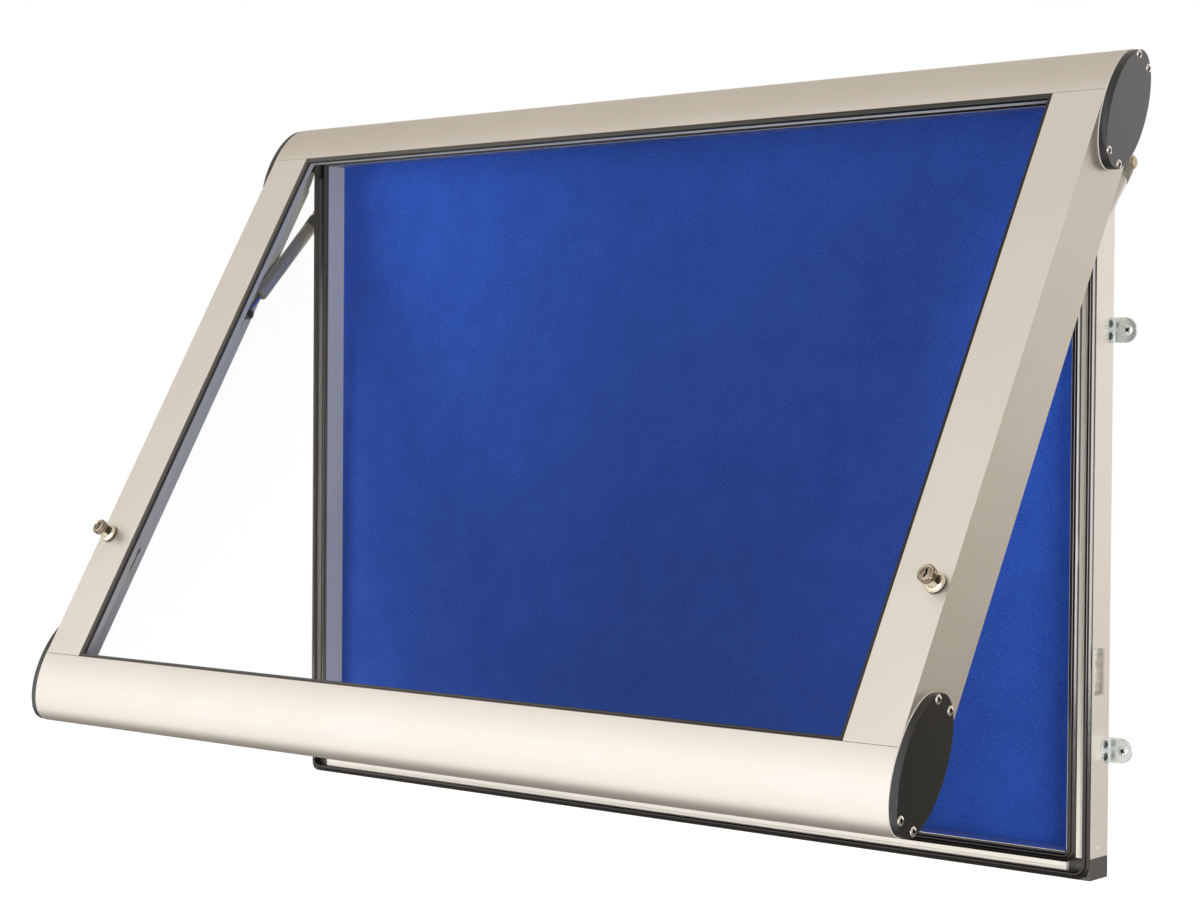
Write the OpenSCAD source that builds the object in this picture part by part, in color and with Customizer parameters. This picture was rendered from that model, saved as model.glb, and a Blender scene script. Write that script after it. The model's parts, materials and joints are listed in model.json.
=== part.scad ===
// Lockable notice board: a wall case with a pinboard, and a glazed door hung on
// its top corners, held up by two gas struts and shut by two cam locks.
// X runs along the board, Y into the wall and Z up. The origin is the centre of
// the four wall fixings, on the wall plane. The door is drawn at its open stop.

/* [Case] */
// Width of the wall case over its side members
case_w = 1000; // [800:10:1400]
// Height of the wall case
case_h = 714; // [640:2:1100]
// Depth of the wall case from the wall to its front face
case_d = 31.5; // [31:0.5:34]
// Width of each case member seen from the front
member_w = 24; // [23:0.5:26]
// Wall of the case extrusions
case_wall = 2; // [1.6:0.1:2.2]
// Height of the lower corner blocks on the side of the case
corner_h = 19.5; // [15:0.5:26]
// Height of the upper corner blocks, which carry the hinge pins
hinge_block_h = 38; // [34:1:50]
// Length of the corner block spigots inside the members
spigot_l = 25; // [15:1:40]

/* [Pinboard] */
// Depth of the notice space from the case front to the felt
tray_d = 24.5; // [22:0.5:25]
// Thickness of the felt
felt_t = 0.8; // [0.5:0.1:1.2]
// Thickness of the soft fibre core
core_t = 4; // [3:0.5:4.5]
// Thickness of the back sheet
back_t = 1; // [0.6:0.1:1.2]

/* [Weather seals] */
// Distance of the outer seal from the outside of the case
outer_seal_in = 3.2; // [2.6:0.1:3.4]
// Width of the outer seal
outer_seal_w = 4.2; // [3:0.1:4.6]
// Distance of the inner seal from the outside of the case
inner_seal_in = 14.4; // [14:0.1:15]
// Width of the inner seal
inner_seal_w = 6.8; // [5:0.1:7]
// Height of the seals in front of the case
seal_rise = 5.5; // [3:0.5:6]
// Height of the outer seal's lobe on the edge of the case
edge_lobe_rise = 2.6; // [1.5:0.1:2.6]
// Height of the inner seal's lobe on the inner lip of the case
lip_lobe_rise = 4.5; // [2:0.5:5]
// Depth of the grooves that hold the seals
groove_d = 3.5; // [2:0.5:5]
// Radius of the seals' outer corners
seal_corner_r = 12; // [8:1:14]

/* [Door] */
// Distance from the case side to the edge of the glazed opening
opening_in_x = 25; // [25:0.5:28]
// Distance from the case top and bottom to the edge of the glazed opening
opening_in_z = 44; // [42:0.5:46]
// Gap between the case side and the door flange, which holds the struts
side_gap = 24.6; // [24.6:0.1:30]
// Wall of the door stiles
door_wall = 2.4; // [2:0.1:2.6]
// Depth of the door from its front face to the back of its flanges
door_d = 62; // [61:0.5:64]
// Gap between the closed door and the wall
wall_gap = 0.5; // [0.5:0.1:1]
// Height of the rounded rails above and below the opening
rail_rise = 61; // [60:0.5:66]
// Wall of the rounded rails
rail_wall = 2; // [1.6:0.1:2.2]
// Angle of the door at its open stop
open_angle = 30.5; // [20:0.5:30.5]

/* [Glazing] */
// Thickness of the glass
glass_t = 4; // [3:1:4]
// Depth of the glass edge inside the frame
glass_bite = 7; // [5:0.5:8]
// Distance from the door's front face to the glass
glass_in = 4.6; // [4:0.1:5]
// Width of the gasket lip that shows around the glass
gasket_lip = 4.4; // [1:0.1:5.5]
// Depth of the glazing beads behind the glass
bead_d = 7; // [5:0.5:7.5]
// Wall of the glazing beads
bead_wall = 1.4; // [1:0.1:1.8]

/* [End caps] */
// Thickness of the oval end caps
cap_t = 8; // [6:0.5:10]
// Distance of the cap screws from the opening edge
cap_screw_z = 51.5; // [50:0.1:52]
// Distance of the cap screws from the middle of the door's depth
cap_screw_y = 10.3; // [9:0.1:11]
// Radius of the cap screws
cap_screw_r = 1.95; // [1.5:0.05:2]

/* [Hinge] */
// Height of the hinge axis below the case top
hinge_drop = 19; // [18:0.5:20]
// Radius of the hinge pins
pin_r = 4; // [3:0.5:5]
// Outer radius of the pivot bosses on the upper end caps
pivot_boss_r = 8.5; // [7:0.5:9]

/* [Gas struts] */
// Distance of the strut axis from the case side
strut_out = 16; // [15:0.1:16]
// Depth of the upper strut pivot behind the case front
strut_top_in = 24; // [20:0.5:24.5]
// Height of the upper strut pivot below the case top
strut_top_drop = 75.5; // [70:0.5:90]
// Distance of the lower strut pivot below the opening's top edge
strut_low_drop = 178.5; // [176:0.5:186]
// Depth of the lower strut pivot behind the door's front face
strut_low_in = 46; // [44:0.5:48]
// Outer radius of the strut tube
tube_r = 7.5; // [6:0.5:7.5]
// Radius of the strut rod
rod_r = 3; // [2.5:0.5:4]
// Length of the strut tube
tube_l = 112; // [100:1:112]

/* [Locks] */
// Distance of the lock axis from the case side
lock_out = 14; // [13.8:0.1:14.4]
// Distance of the locks below the opening's top edge
lock_drop = 484; // [300:1:500]
// Radius of the lock barrel
barrel_r = 8; // [7:0.5:8]
// Distance that the lock stands out of the door
lock_proud = 18; // [12:1:20]
// Radius of the rotating lock plug
plug_r = 5.6; // [4.5:0.1:6]
// Reach of the cam from the lock axis
cam_reach = 25; // [22:0.5:27]
// Width of the cam
cam_w = 12; // [8:1:14]
// Thickness of the cam
cam_t = 3; // [2:0.5:4]
// Height of the latch slots in the case sides
slot_h = 42; // [41:1:60]

/* [Wall brackets] */
// Height of the lower brackets above the case bottom
bracket_rise = 114.5; // [60:0.5:130]
// Distance between the lower and upper brackets
bracket_spacing = 376; // [300:1:400]
// Height of each bracket
bracket_h = 22.5; // [20:0.5:24]
// Thickness of the bracket plate
bracket_t = 2; // [1.5:0.1:2.5]
// Distance of the wall holes from the case side
wall_hole_out = 15; // [13:0.5:16]
// Radius of the wall holes
wall_hole_r = 2.75; // [2:0.05:3]

/* [Hidden] */

$fn = 64;
anodised = "#d8cfc2";
dark_plastic = "#3a3836";
black_rubber = "#1c1b1a";
zinc = "#b9c3c8";
nickel = "#b8a894";
run_gap = 0.05;      // radial clearance of pins, rods and plugs that turn or slide
free_gap = 0.3;      // clearance between pieces on different bodies
eps = 0.01;

// case
case_z0 = -(bracket_rise + bracket_spacing / 2);
case_z1 = case_z0 + case_h;
case_front = -case_d;
hinge_y = -case_d / 2;
hinge_z = case_z1 - hinge_drop;
floor_d = groove_d + case_wall;          // back of the groove floor
web_in = outer_seal_in + outer_seal_w;   // bright web between the two seals
web_w = inner_seal_in - web_in;
web_line = [0.6, 0.8];                   // fine groove along the web: width, depth
lip_in = inner_seal_in + inner_seal_w;
edge_lobe_in = 0.3;                      // the lobes stop this far inside the metal's edges
lip_lobe_in = member_w - 0.4;
rear_lip_w = 8;
board_clear = 0.5;
board_w = case_w - 2 * (case_wall + board_clear);
board_h = case_h - 2 * (case_wall + board_clear);
rear_lip_d = case_d - tray_d - felt_t - core_t - back_t;
spigot_clear = 0.2;
rivet_r = 2.4;
rivet_head = 0.8;
rivet_shank_r = 1.6;
rivet_step = 8.5;                        // rivet centre beyond the block's face
rivet_in = 13.5;                         // depth of the rivets behind the case front
rivet_y = case_front + rivet_in;
rivet_x = case_w / 2 - member_w - rivet_step;
rivet_heights = [case_z0 + corner_h + rivet_step, case_z1 - hinge_block_h - rivet_step];

// wall brackets
bracket_heights = [-bracket_spacing / 2, bracket_spacing / 2];
bracket_d = 16;
bracket_tip = side_gap - 0.9;            // the ear ends short of the door flange
bracket_screw_y = -9;
bracket_screw_dz = 5.5;
bracket_screw_r = 1.9;
bracket_head = [1.5, 3.2];               // screw head: height, radius

// hinge pins
pin_collar = [1.2, pin_r + 2];           // collar between case and boss: thickness, radius
boss_start = 3;                          // gap from the case side to the cap's boss

// door, closed
open_w = case_w - 2 * opening_in_x;
open_h = case_h - 2 * opening_in_z;
open_z1 = case_z1 - opening_in_z;
open_z0 = case_z0 + opening_in_z;
stile_w = opening_in_x + side_gap + door_wall;
door_w = open_w + 2 * stile_w;
door_front = -(door_d + wall_gap);
flange_x = case_w / 2 + side_gap;        // inner face of the door flange
rebate_w = glass_bite + 0.5;
rebate_wall = 2;
bead_in = glass_in + glass_t;
corner_r = norm([case_d / 2, hinge_drop]);
swing_clear = 0.7;
rail_end = hinge_z + corner_r + swing_clear - open_z1;
rib_w = 3;
rib_in = inner_seal_in - rib_w - 0.5;    // seal rib, over the web beside the inner seal
rib_d = 24.1;
rib_step = 2.8;                          // depth that the stile ribs lose near the seams
rib_step_l = 28;                         // length of the step at each seam
seal_r = norm([case_d / 2 + seal_rise, hinge_drop - outer_seal_in]);
top_rib_z = opening_in_z - rib_in - rib_w;
top_rib_d = min(rib_d, door_d + wall_gap - case_d / 2
    - sqrt(pow(seal_r + free_gap, 2) - pow(hinge_drop - rib_in - rib_w, 2)));
channel_r = 4;
cap_thread_l = 6;
cap_head = [1.2, 4.2];                   // screw head: height, radius

// struts: top pivot on the case, lower pivot on the door
strut_x = case_w / 2 + strut_out;
strut_top = [case_front + strut_top_in, case_z1 - strut_top_drop];
strut_low_closed = [door_front + strut_low_in, open_z1 - strut_low_drop];
function swung(p) = let (a = p - [hinge_y, hinge_z], c = cos(open_angle), s = sin(open_angle))
    [hinge_y + a[0] * c + a[1] * s, hinge_z - a[0] * s + a[1] * c];
strut_low = swung(strut_low_closed);
strut_l = norm(strut_top - strut_low);
strut_lean = atan2(strut_top[0] - strut_low[0], strut_top[1] - strut_low[1]);
eye_r = 6.5;
eye_w = 11.8;
stud_r = 4;
stud_shank_r = stud_r - 1;
stud_base = [2, stud_r + 3];             // washer on the case side: thickness, radius
stud_shoulder_r = stud_r + 1.5;
stud_clip = [1, stud_r + 0.8];
collar_l = 14;
collar_r = tube_r + 0.5;
collar_start = 8;
tube_start = collar_start + collar_l;
tube_wall = 1.2;
tube_end = tube_start + tube_l;
piston_l = 10;
rod_in = 40;
neck_r = eye_w / 2 - 0.5;                // round neck between an eye and its tube or rod
rod_neck_l = 8;
plate_w = 12;                            // strut plate on the door flange
plate_reach = [16, 6];                   // below and above the pivot
plate_boss_r = 7;

// locks
lock_x = case_w / 2 + lock_out;
rose_r = 9.5;
rose_t = 5.5;
barrel_end = 38;
cam_in = 42.5;
nut_r = 10.8;
nut_t = 5;
tail_w = 6;
slot_y = [4, 22];                        // depths of the latch slots' edges behind the case front
slot_z = open_z1 - lock_drop;

module left_right(side) { mirror([side < 0 ? 1 : 0, 0, 0]) children(); }
// turns a section drawn as (depth, height) into a length along X, centred
module along_x(len) { rotate([90, 0, 90]) linear_extrude(len, center = true) children(); }
// a cylinder along +X or +Y from its base point
module x_rod(p, r, len) { translate(p) rotate([0, 90, 0]) cylinder(r = r, h = len); }
module y_rod(p, r, len) { translate(p) rotate([-90, 0, 0]) cylinder(r = r, h = len); }
// carries the closed door to its open stop
module door_pose() {
    translate([0, hinge_y, hinge_z]) rotate([-open_angle, 0, 0])
        translate([0, -hinge_y, -hinge_z]) children();
}
module anodised() { color(anodised) children(); }

// ---- case ----
// section of a case member: (distance in from the outside, depth from the front)
module case_section() {
    square([case_wall, case_d]);
    square([outer_seal_in, floor_d]);
    translate([0, groove_d]) square([member_w, case_wall]);
    difference() {
        translate([web_in, 0]) square([web_w, floor_d]);
        translate([web_in + web_w / 3, -eps]) square(web_line);
    }
    translate([lip_in, 0]) square([member_w - lip_in, floor_d]);
    translate([member_w - case_wall, 0]) square([case_wall, tray_d]);
    translate([0, case_d - rear_lip_d]) square([rear_lip_w, rear_lip_d]);
}

// horizontal member: the section is turned so that its outside faces down or up
module case_level(up) {
    anodised() difference() {
        translate([0, case_front, up ? case_z1 : case_z0]) along_x(case_w - 2 * member_w)
            mirror([0, up ? 1 : 0]) mirror([1, -1]) case_section();
        for (side = [-1, 1]) left_right(side) rivet_shanks_level(run_gap);
    }
}

module case_bottom_profile() { case_level(false); }
module case_top_profile() { case_level(true); }

module case_side(side) {
    z0 = case_z0 + corner_h;
    anodised() left_right(side) difference() {
        translate([case_w / 2, case_front, z0]) linear_extrude(case_z1 - member_w - z0)
            mirror([1, 0]) case_section();
        // the hinge block stands outside the upper end of the inner wall
        translate([case_w / 2 - inner_seal_in, case_front - 1, case_z1 - hinge_block_h])
            cube([inner_seal_in + 1, case_d + 2, hinge_block_h]);
        translate([case_w / 2 - case_wall - 1, case_front + slot_y[0], slot_z - slot_h / 2])
            cube([case_wall + 2, slot_y[1] - slot_y[0], slot_h]);
        for (z = bracket_heights, dz = [-1, 1])
            x_rod([case_w / 2 - case_wall - 1, bracket_screw_y, z + dz * bracket_screw_dz],
                bracket_screw_r + run_gap, case_wall + 2);
        x_rod([case_w / 2 - case_wall - 1, strut_top[0], strut_top[1]],
            stud_shank_r + run_gap, case_wall + 2);
        for (z = rivet_heights) rivet_shanks(z, run_gap);
        // the lower run of the inner seal passes the end of the lip
        translate([case_w / 2 - member_w - 1, case_front - 1, z0 - 1])
            cube([member_w - lip_in + 1, groove_d + 1, case_z0 + lip_in - z0 + 1]);
    }
}

module case_left_profile() { case_side(-1); }
module case_right_profile() { case_side(1); }

// moulded corner: a block with a spigot into each of the two members it joins
module corner_block(side, h, up) {
    in = case_wall + spigot_clear;
    spigot = [member_w - 2 * in, tray_d - floor_d - 2 * spigot_clear];
    color(dark_plastic) left_right(side) translate([case_w / 2, 0, up ? case_z1 : case_z0])
        mirror([0, 0, up ? 1 : 0]) difference() {
            union() {
                translate([-member_w, case_front, 0]) cube([member_w, case_d, h]);
                translate([-in - spigot[0], case_front + floor_d + spigot_clear, h - eps])
                    cube([spigot[0], spigot[1], spigot_l]);
                translate([-member_w - spigot_l, case_front + floor_d + spigot_clear, in])
                    cube([spigot_l + eps, spigot[1], min(spigot[0], h - in)]);
            }
            translate([-member_w - 1, case_front - 1, outer_seal_in])
                cube([member_w - outer_seal_in + 1, floor_d + 1, h]);
            translate([-member_w - eps, case_front + tray_d, case_wall + board_clear])
                cube([member_w - case_wall - board_clear + eps, felt_t + core_t + back_t, h]);
            if (up) {
                x_rod([-member_w - 1, hinge_y, hinge_drop], pin_r, member_w + 2);
                translate([-member_w - 1, case_front - 1, member_w])
                    cube([member_w - inner_seal_in + 1, case_d + 2, h - member_w]);
            }
        }
}

module corner_block_left() { corner_block(-1, corner_h, false); }
module corner_block_right() { corner_block(1, corner_h, false); }
module hinge_block_left() { corner_block(-1, hinge_block_h, true); }
module hinge_block_right() { corner_block(1, hinge_block_h, true); }

module rounded_rect(w, h, r) {
    square([w - 2 * r, h], center = true);
    square([w, h - 2 * r], center = true);
    for (x = [-1, 1], z = [-1, 1]) translate([x * (w / 2 - r), z * (h / 2 - r)]) circle(r);
}

// one continuous ring of seal around the case front, between two distances in from
// the outside of the case
module seal_ring(from, to, r, back, rise) {
    color(black_rubber) translate([0, case_front + back, case_z0 + case_h / 2])
        rotate([90, 0, 0]) linear_extrude(back + rise) difference() {
            rounded_rect(case_w - 2 * from, case_h - 2 * from, r);
            square([case_w - 2 * to, case_h - 2 * to], center = true);
        }
}

// each seal is set in its groove and has a lobe that lies on the metal beside it
module outer_seal() {
    seal_ring(outer_seal_in, web_in, seal_corner_r, groove_d, seal_rise);
    seal_ring(edge_lobe_in, web_in, seal_corner_r + outer_seal_in - edge_lobe_in, 0, edge_lobe_rise);
}

module inner_seal() {
    seal_ring(inner_seal_in, lip_in, seal_corner_r, groove_d, seal_rise);
    seal_ring(inner_seal_in, lip_lobe_in, seal_corner_r, 0, lip_lobe_rise);
}

// a sheet of the board stack, from one depth of the case to the next
module board_layer(depth, t) {
    translate([-board_w / 2, case_front + depth, case_z0 + (case_h - board_h) / 2])
        cube([board_w, t, board_h]);
}

module felt_cover() { color("#264ba5") board_layer(tray_d, felt_t); }
module pinboard_core() { color("#b08d5f") board_layer(tray_d + felt_t, core_t); }
module back_sheet() { color("#c9cdd0") board_layer(tray_d + felt_t + core_t, back_t); }

// rivets into the spigots, through the sides and through the top and bottom
module corner_rivets() {
    color(zinc) for (side = [-1, 1]) left_right(side) {
        for (z = rivet_heights) {
            x_rod([case_w / 2, rivet_y, z], rivet_r, rivet_head);
            rivet_shanks(z, 0);
        }
        for (z = [case_z0 - rivet_head, case_z1])
            translate([rivet_x, rivet_y, z]) cylinder(r = rivet_r, h = rivet_head);
        rivet_shanks_level(0);
    }
}

module rivet_shanks(z, clear) {
    x_rod([case_w / 2 - case_wall - clear, rivet_y, z], rivet_shank_r + clear,
        case_wall + eps + 2 * clear);
}

module rivet_shanks_level(clear) {
    for (z = [case_z0 - eps - clear, case_z1 - case_wall - clear])
        translate([rivet_x, rivet_y, z]) cylinder(r = rivet_shank_r + clear, h = case_wall + eps + 2 * clear);
}

// ---- wall brackets ----
module wall_bracket(side, z) {
    r = bracket_h / 2;
    color(zinc) left_right(side) translate([case_w / 2, 0, z]) difference() {
        union() {
            translate([0, -bracket_t, -r]) cube([bracket_tip - r, bracket_t, bracket_h]);
            y_rod([bracket_tip - r, -bracket_t, 0], r, bracket_t);
            translate([0, -bracket_d + r, -r]) cube([bracket_t, bracket_d - r, bracket_h]);
            x_rod([0, -bracket_d + r, 0], r, bracket_t);
        }
        translate([-1, 0, -r - 1]) cube([bracket_t + 2, r, bracket_h + 2]);
        y_rod([wall_hole_out, -bracket_t - 1, 0], wall_hole_r, bracket_t + 2);
        for (dz = [-1, 1])
            x_rod([-1, bracket_screw_y, dz * bracket_screw_dz], bracket_screw_r + run_gap, bracket_t + 2);
    }
}

module wall_bracket_lower_left() { wall_bracket(-1, bracket_heights[0]); }
module wall_bracket_lower_right() { wall_bracket(1, bracket_heights[0]); }
module wall_bracket_upper_left() { wall_bracket(-1, bracket_heights[1]); }
module wall_bracket_upper_right() { wall_bracket(1, bracket_heights[1]); }

module bracket_screws() {
    color(zinc) for (side = [-1, 1], z = bracket_heights, dz = [-1, 1]) left_right(side) {
        x_rod([case_w / 2 - case_wall, bracket_screw_y, z + dz * bracket_screw_dz],
            bracket_screw_r, case_wall + bracket_t + eps);
        x_rod([case_w / 2 + bracket_t, bracket_screw_y, z + dz * bracket_screw_dz],
            bracket_head[1], bracket_head[0]);
    }
}

// ---- hinge ----
module hinge_pin(side) {
    color(nickel) left_right(side) {
        x_rod([case_w / 2 - member_w, hinge_y, hinge_z], pin_r, member_w + side_gap - 1);
        x_rod([case_w / 2, hinge_y, hinge_z], pin_collar[1], pin_collar[0]);
    }
}

module hinge_pin_left() { hinge_pin(-1); }
module hinge_pin_right() { hinge_pin(1); }

// ---- door ----
function oval(a, b, n = 72) = [for (i = [0 : n - 1]) [a * cos(360 * i / n), b * sin(360 * i / n)]];

// section of the upper rail: (depth from the door's front, height above the opening)
module rail_section(rib_depth) {
    mid = door_d / 2;
    difference() {
        union() {
            difference() {
                translate([mid, 0]) polygon(oval(mid, rail_rise));
                translate([mid, 0]) polygon(oval(mid - rail_wall, rail_rise - rail_wall));
            }
            for (s = [-1, 1]) translate([mid + s * cap_screw_y, cap_screw_z]) intersection() {
                circle(channel_r);
                translate([-mid - s * cap_screw_y, -cap_screw_z]) polygon_of_rail();
            }
            intersection() {
                polygon_of_rail();
                union() {
                    translate([0, rebate_w]) square([bead_in + bead_d, rebate_wall]);
                    translate([0, top_rib_z]) square([rib_depth, rib_w]);
                }
            }
        }
        for (s = [-1, 1]) translate([mid + s * cap_screw_y, cap_screw_z])
            circle(cap_screw_r + run_gap);
        translate([mid, -rail_rise]) square([mid + 1, rail_rise + rail_end]);
        translate([-1, -rail_rise - 1]) square([door_d + 2, rail_rise + 1]);
    }
}

module polygon_of_rail() { translate([door_d / 2, 0]) polygon(oval(door_d / 2, rail_rise)); }

module door_top_rail() {
    anodised() door_pose() translate([0, door_front, open_z1])
        along_x(door_w) rail_section(top_rib_d);
}

module door_bottom_rail() {
    anodised() door_pose() translate([0, door_front, open_z0])
        along_x(door_w) mirror([0, 1]) rail_section(rib_d);
}

// section of a stile: (distance out from the opening, depth from the door's front)
module stile_section() {
    square([stile_w, door_wall]);
    translate([stile_w - door_wall, 0]) square([door_wall, door_d]);
    translate([rebate_w, 0]) square([rebate_wall, bead_in + bead_d]);
    translate([opening_in_x - rib_in - rib_w, 0]) square([rib_w, rib_d]);
}

module door_stile(side) {
    rib_x = open_w / 2 + opening_in_x - rib_in - rib_w;
    anodised() door_pose() left_right(side) difference() {
        translate([open_w / 2, door_front, open_z0]) linear_extrude(open_h) stile_section();
        for (z = [open_z0 - 1, open_z1 - rib_step_l])
            translate([rib_x - 1, door_front + rib_d - rib_step, z])
                cube([rib_w + 2, rib_step + 1, rib_step_l + 1]);
        y_rod([lock_x, door_front - 1, open_z1 - lock_drop], barrel_r + run_gap, door_wall + 2);
        for (z = [open_z0 + cap_screw_z, open_z1 - cap_screw_z], s = [-1, 1])
            x_rod([flange_x - 1, door_front + door_d / 2 + s * cap_screw_y, z],
                cap_screw_r + run_gap, door_wall + 2);
    }
}

module door_left_stile() { door_stile(-1); }
module door_right_stile() { door_stile(1); }

// a flat ring around the glazed opening, between two depths of the door
module opening_ring(inside, outside, depth, t) {
    translate([0, door_front + depth, (open_z0 + open_z1) / 2]) difference() {
        translate([-open_w / 2 - outside, 0, -open_h / 2 - outside])
            cube([open_w + 2 * outside, t, open_h + 2 * outside]);
        translate([-open_w / 2 - inside, -1, -open_h / 2 - inside])
            cube([open_w + 2 * inside, t + 2, open_h + 2 * inside]);
    }
}

module glazing_panel() {
    color("#c8dcd8", 0.35) door_pose() translate([0, door_front + glass_in, (open_z0 + open_z1) / 2])
        translate([-open_w / 2 - glass_bite, 0, -open_h / 2 - glass_bite])
            cube([open_w + 2 * glass_bite, glass_t, open_h + 2 * glass_bite]);
}

module glazing_gasket() {
    lip_front = 0.8;
    color(black_rubber) door_pose() {
        opening_ring(-gasket_lip, 0, lip_front, glass_in - lip_front);
        opening_ring(-eps, glass_bite, door_wall, glass_in - door_wall);
    }
}

// section of a bead: (distance out from the opening, depth from the bead's front)
module bead_section() {
    difference() {
        square([rebate_w, bead_d]);
        translate([bead_wall, bead_wall]) square([rebate_w, bead_d - 2 * bead_wall]);
    }
}

module bead_level(up) {
    z = up ? open_z1 : open_z0;
    anodised() door_pose() translate([0, door_front + bead_in, z])
        along_x(open_w + 2 * rebate_w) mirror([0, up ? 0 : 1]) mirror([1, -1]) bead_section();
}

module bead_upright(side) {
    anodised() door_pose() left_right(side)
        translate([open_w / 2, door_front + bead_in, open_z0]) linear_extrude(open_h) bead_section();
}

module bead_top() { bead_level(true); }
module bead_bottom() { bead_level(false); }
module bead_left() { bead_upright(-1); }
module bead_right() { bead_upright(1); }

module end_cap(side, up) {
    z = up ? open_z1 : open_z0;
    boss_l = side_gap + door_wall - boss_start;
    color(dark_plastic) door_pose() left_right(side) difference() {
        union() {
            translate([door_w / 2 + cap_t / 2, door_front + door_d / 2, z])
                along_x(cap_t) polygon(oval(door_d / 2, rail_rise));
            if (up) x_rod([door_w / 2 - boss_l, hinge_y, hinge_z], pivot_boss_r, boss_l + eps);
        }
        if (up) x_rod([door_w / 2 - boss_l - 1, hinge_y, hinge_z], pin_r + run_gap, boss_l + 1);
        for (dz = [-1, 1], s = [-1, 1])
            x_rod([door_w / 2 - 1, door_front + door_d / 2 + s * cap_screw_y, z + dz * cap_screw_z],
                cap_screw_r + run_gap, cap_t + 2);
    }
}

module end_cap_top_left() { end_cap(-1, true); }
module end_cap_top_right() { end_cap(1, true); }
module end_cap_bottom_left() { end_cap(-1, false); }
module end_cap_bottom_right() { end_cap(1, false); }

module end_cap_screws() {
    color(zinc) door_pose() for (side = [-1, 1], z = [open_z0, open_z1], dz = [-1, 1], s = [-1, 1])
        left_right(side) translate([door_w / 2, door_front + door_d / 2 + s * cap_screw_y,
            z + dz * cap_screw_z]) {
            x_rod([-cap_thread_l, 0, 0], cap_screw_r, cap_thread_l + cap_t + eps);
            x_rod([cap_t, 0, 0], cap_head[1], cap_head[0]);
        }
}

// ---- gas struts ----
// a frame at the top pivot whose -Z runs down the strut
module strut_frame(side) {
    left_right(side) translate([strut_x, strut_top[0], strut_top[1]])
        rotate([-strut_lean, 0, 0]) children();
}

module eye(z) {
    x_rod([-eye_w / 2, 0, z], eye_r, eye_w);
}

module eye_bore(z) {
    x_rod([-eye_w / 2 - 1, 0, z], stud_r + run_gap, eye_w + 2);
}

module strut_stud(side) {
    eye_start = strut_out - eye_w / 2 - free_gap;
    clip_start = strut_out + eye_w / 2 + free_gap;
    color(zinc) left_right(side) translate([case_w / 2, strut_top[0], strut_top[1]]) {
        x_rod([-case_wall, 0, 0], stud_shank_r, case_wall + eps);
        x_rod([0, 0, 0], stud_base[1], stud_base[0]);
        x_rod([0, 0, 0], stud_shoulder_r, eye_start);
        x_rod([0, 0, 0], stud_r, clip_start + stud_clip[0]);
        x_rod([clip_start, 0, 0], stud_clip[1], stud_clip[0]);
    }
}

module strut_stud_left() { strut_stud(-1); }
module strut_stud_right() { strut_stud(1); }

module tube_socket(side) {
    color("#8d8f7c") strut_frame(side) difference() {
        union() {
            eye(0);
            translate([0, 0, -tube_start]) cylinder(r = collar_r, h = collar_l);
            translate([0, 0, -collar_start - eps]) cylinder(r = neck_r, h = collar_start);
        }
        eye_bore(0);
    }
}

module tube_socket_left() { tube_socket(-1); }
module tube_socket_right() { tube_socket(1); }

module strut_tube(side) {
    top_t = 3;
    guide_t = 6;
    color("#a8a49c") strut_frame(side) translate([0, 0, -tube_end]) difference() {
        cylinder(r = tube_r, h = tube_l);
        translate([0, 0, guide_t]) cylinder(r = tube_r - tube_wall, h = tube_l - guide_t - top_t);
        translate([0, 0, -1]) cylinder(r = rod_r + run_gap, h = guide_t + 2);
    }
}

module strut_tube_left() { strut_tube(-1); }
module strut_tube_right() { strut_tube(1); }

module strut_rod(side) {
    neck = strut_l - eye_r + eps;
    color("#d0d2d4") strut_frame(side) {
        translate([0, 0, -neck]) cylinder(r = rod_r, h = neck - tube_end + rod_in);
        translate([0, 0, -tube_end + rod_in - piston_l])
            cylinder(r = tube_r - tube_wall - run_gap, h = piston_l);
    }
}

module strut_rod_left() { strut_rod(-1); }
module strut_rod_right() { strut_rod(1); }

module rod_socket(side) {
    color(dark_plastic) strut_frame(side) difference() {
        union() {
            eye(-strut_l);
            translate([0, 0, -strut_l]) cylinder(r = neck_r, h = rod_neck_l);
        }
        eye_bore(-strut_l);
        translate([0, 0, -strut_l + eye_r - eps]) cylinder(r = rod_r, h = rod_neck_l);
    }
}

module rod_socket_left() { rod_socket(-1); }
module rod_socket_right() { rod_socket(1); }

// plate and stud base on the door flange, beside the rod's eye
module strut_bracket(side) {
    t = side_gap - strut_out - eye_w / 2 - free_gap;
    y = strut_low_closed[0];
    z = strut_low_closed[1];
    color(zinc) door_pose() left_right(side) {
        translate([flange_x - t, y - plate_w / 2, z - plate_reach[0]])
            cube([t, plate_w, plate_reach[0] + plate_reach[1]]);
        x_rod([flange_x - t, y, z], plate_boss_r, t);
    }
}

module strut_bracket_left() { strut_bracket(-1); }
module strut_bracket_right() { strut_bracket(1); }

// ---- locks ----
// a frame on the closed door at a lock, with +Y along the lock axis into the case
module lock_frame(side) {
    door_pose() left_right(side) translate([lock_x, door_front, open_z1 - lock_drop]) children();
}

module lock_barrel(side) {
    color(nickel) lock_frame(side) difference() {
        union() {
            y_rod([0, -lock_proud, 0], barrel_r, lock_proud + barrel_end);
            y_rod([0, -rose_t, 0], rose_r, rose_t);
        }
        y_rod([0, -lock_proud - 1, 0], plug_r + run_gap, lock_proud + barrel_end + 2);
    }
}

module lock_barrel_left() { lock_barrel(-1); }
module lock_barrel_right() { lock_barrel(1); }

module lock_nut(side) {
    color(zinc) lock_frame(side) translate([0, door_wall, 0]) difference() {
        rotate([-90, 30, 0]) cylinder(r = nut_r, h = nut_t, $fn = 6);
        y_rod([0, -1, 0], barrel_r + run_gap, nut_t + 2);
    }
}

module lock_nut_left() { lock_nut(-1); }
module lock_nut_right() { lock_nut(1); }

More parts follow.
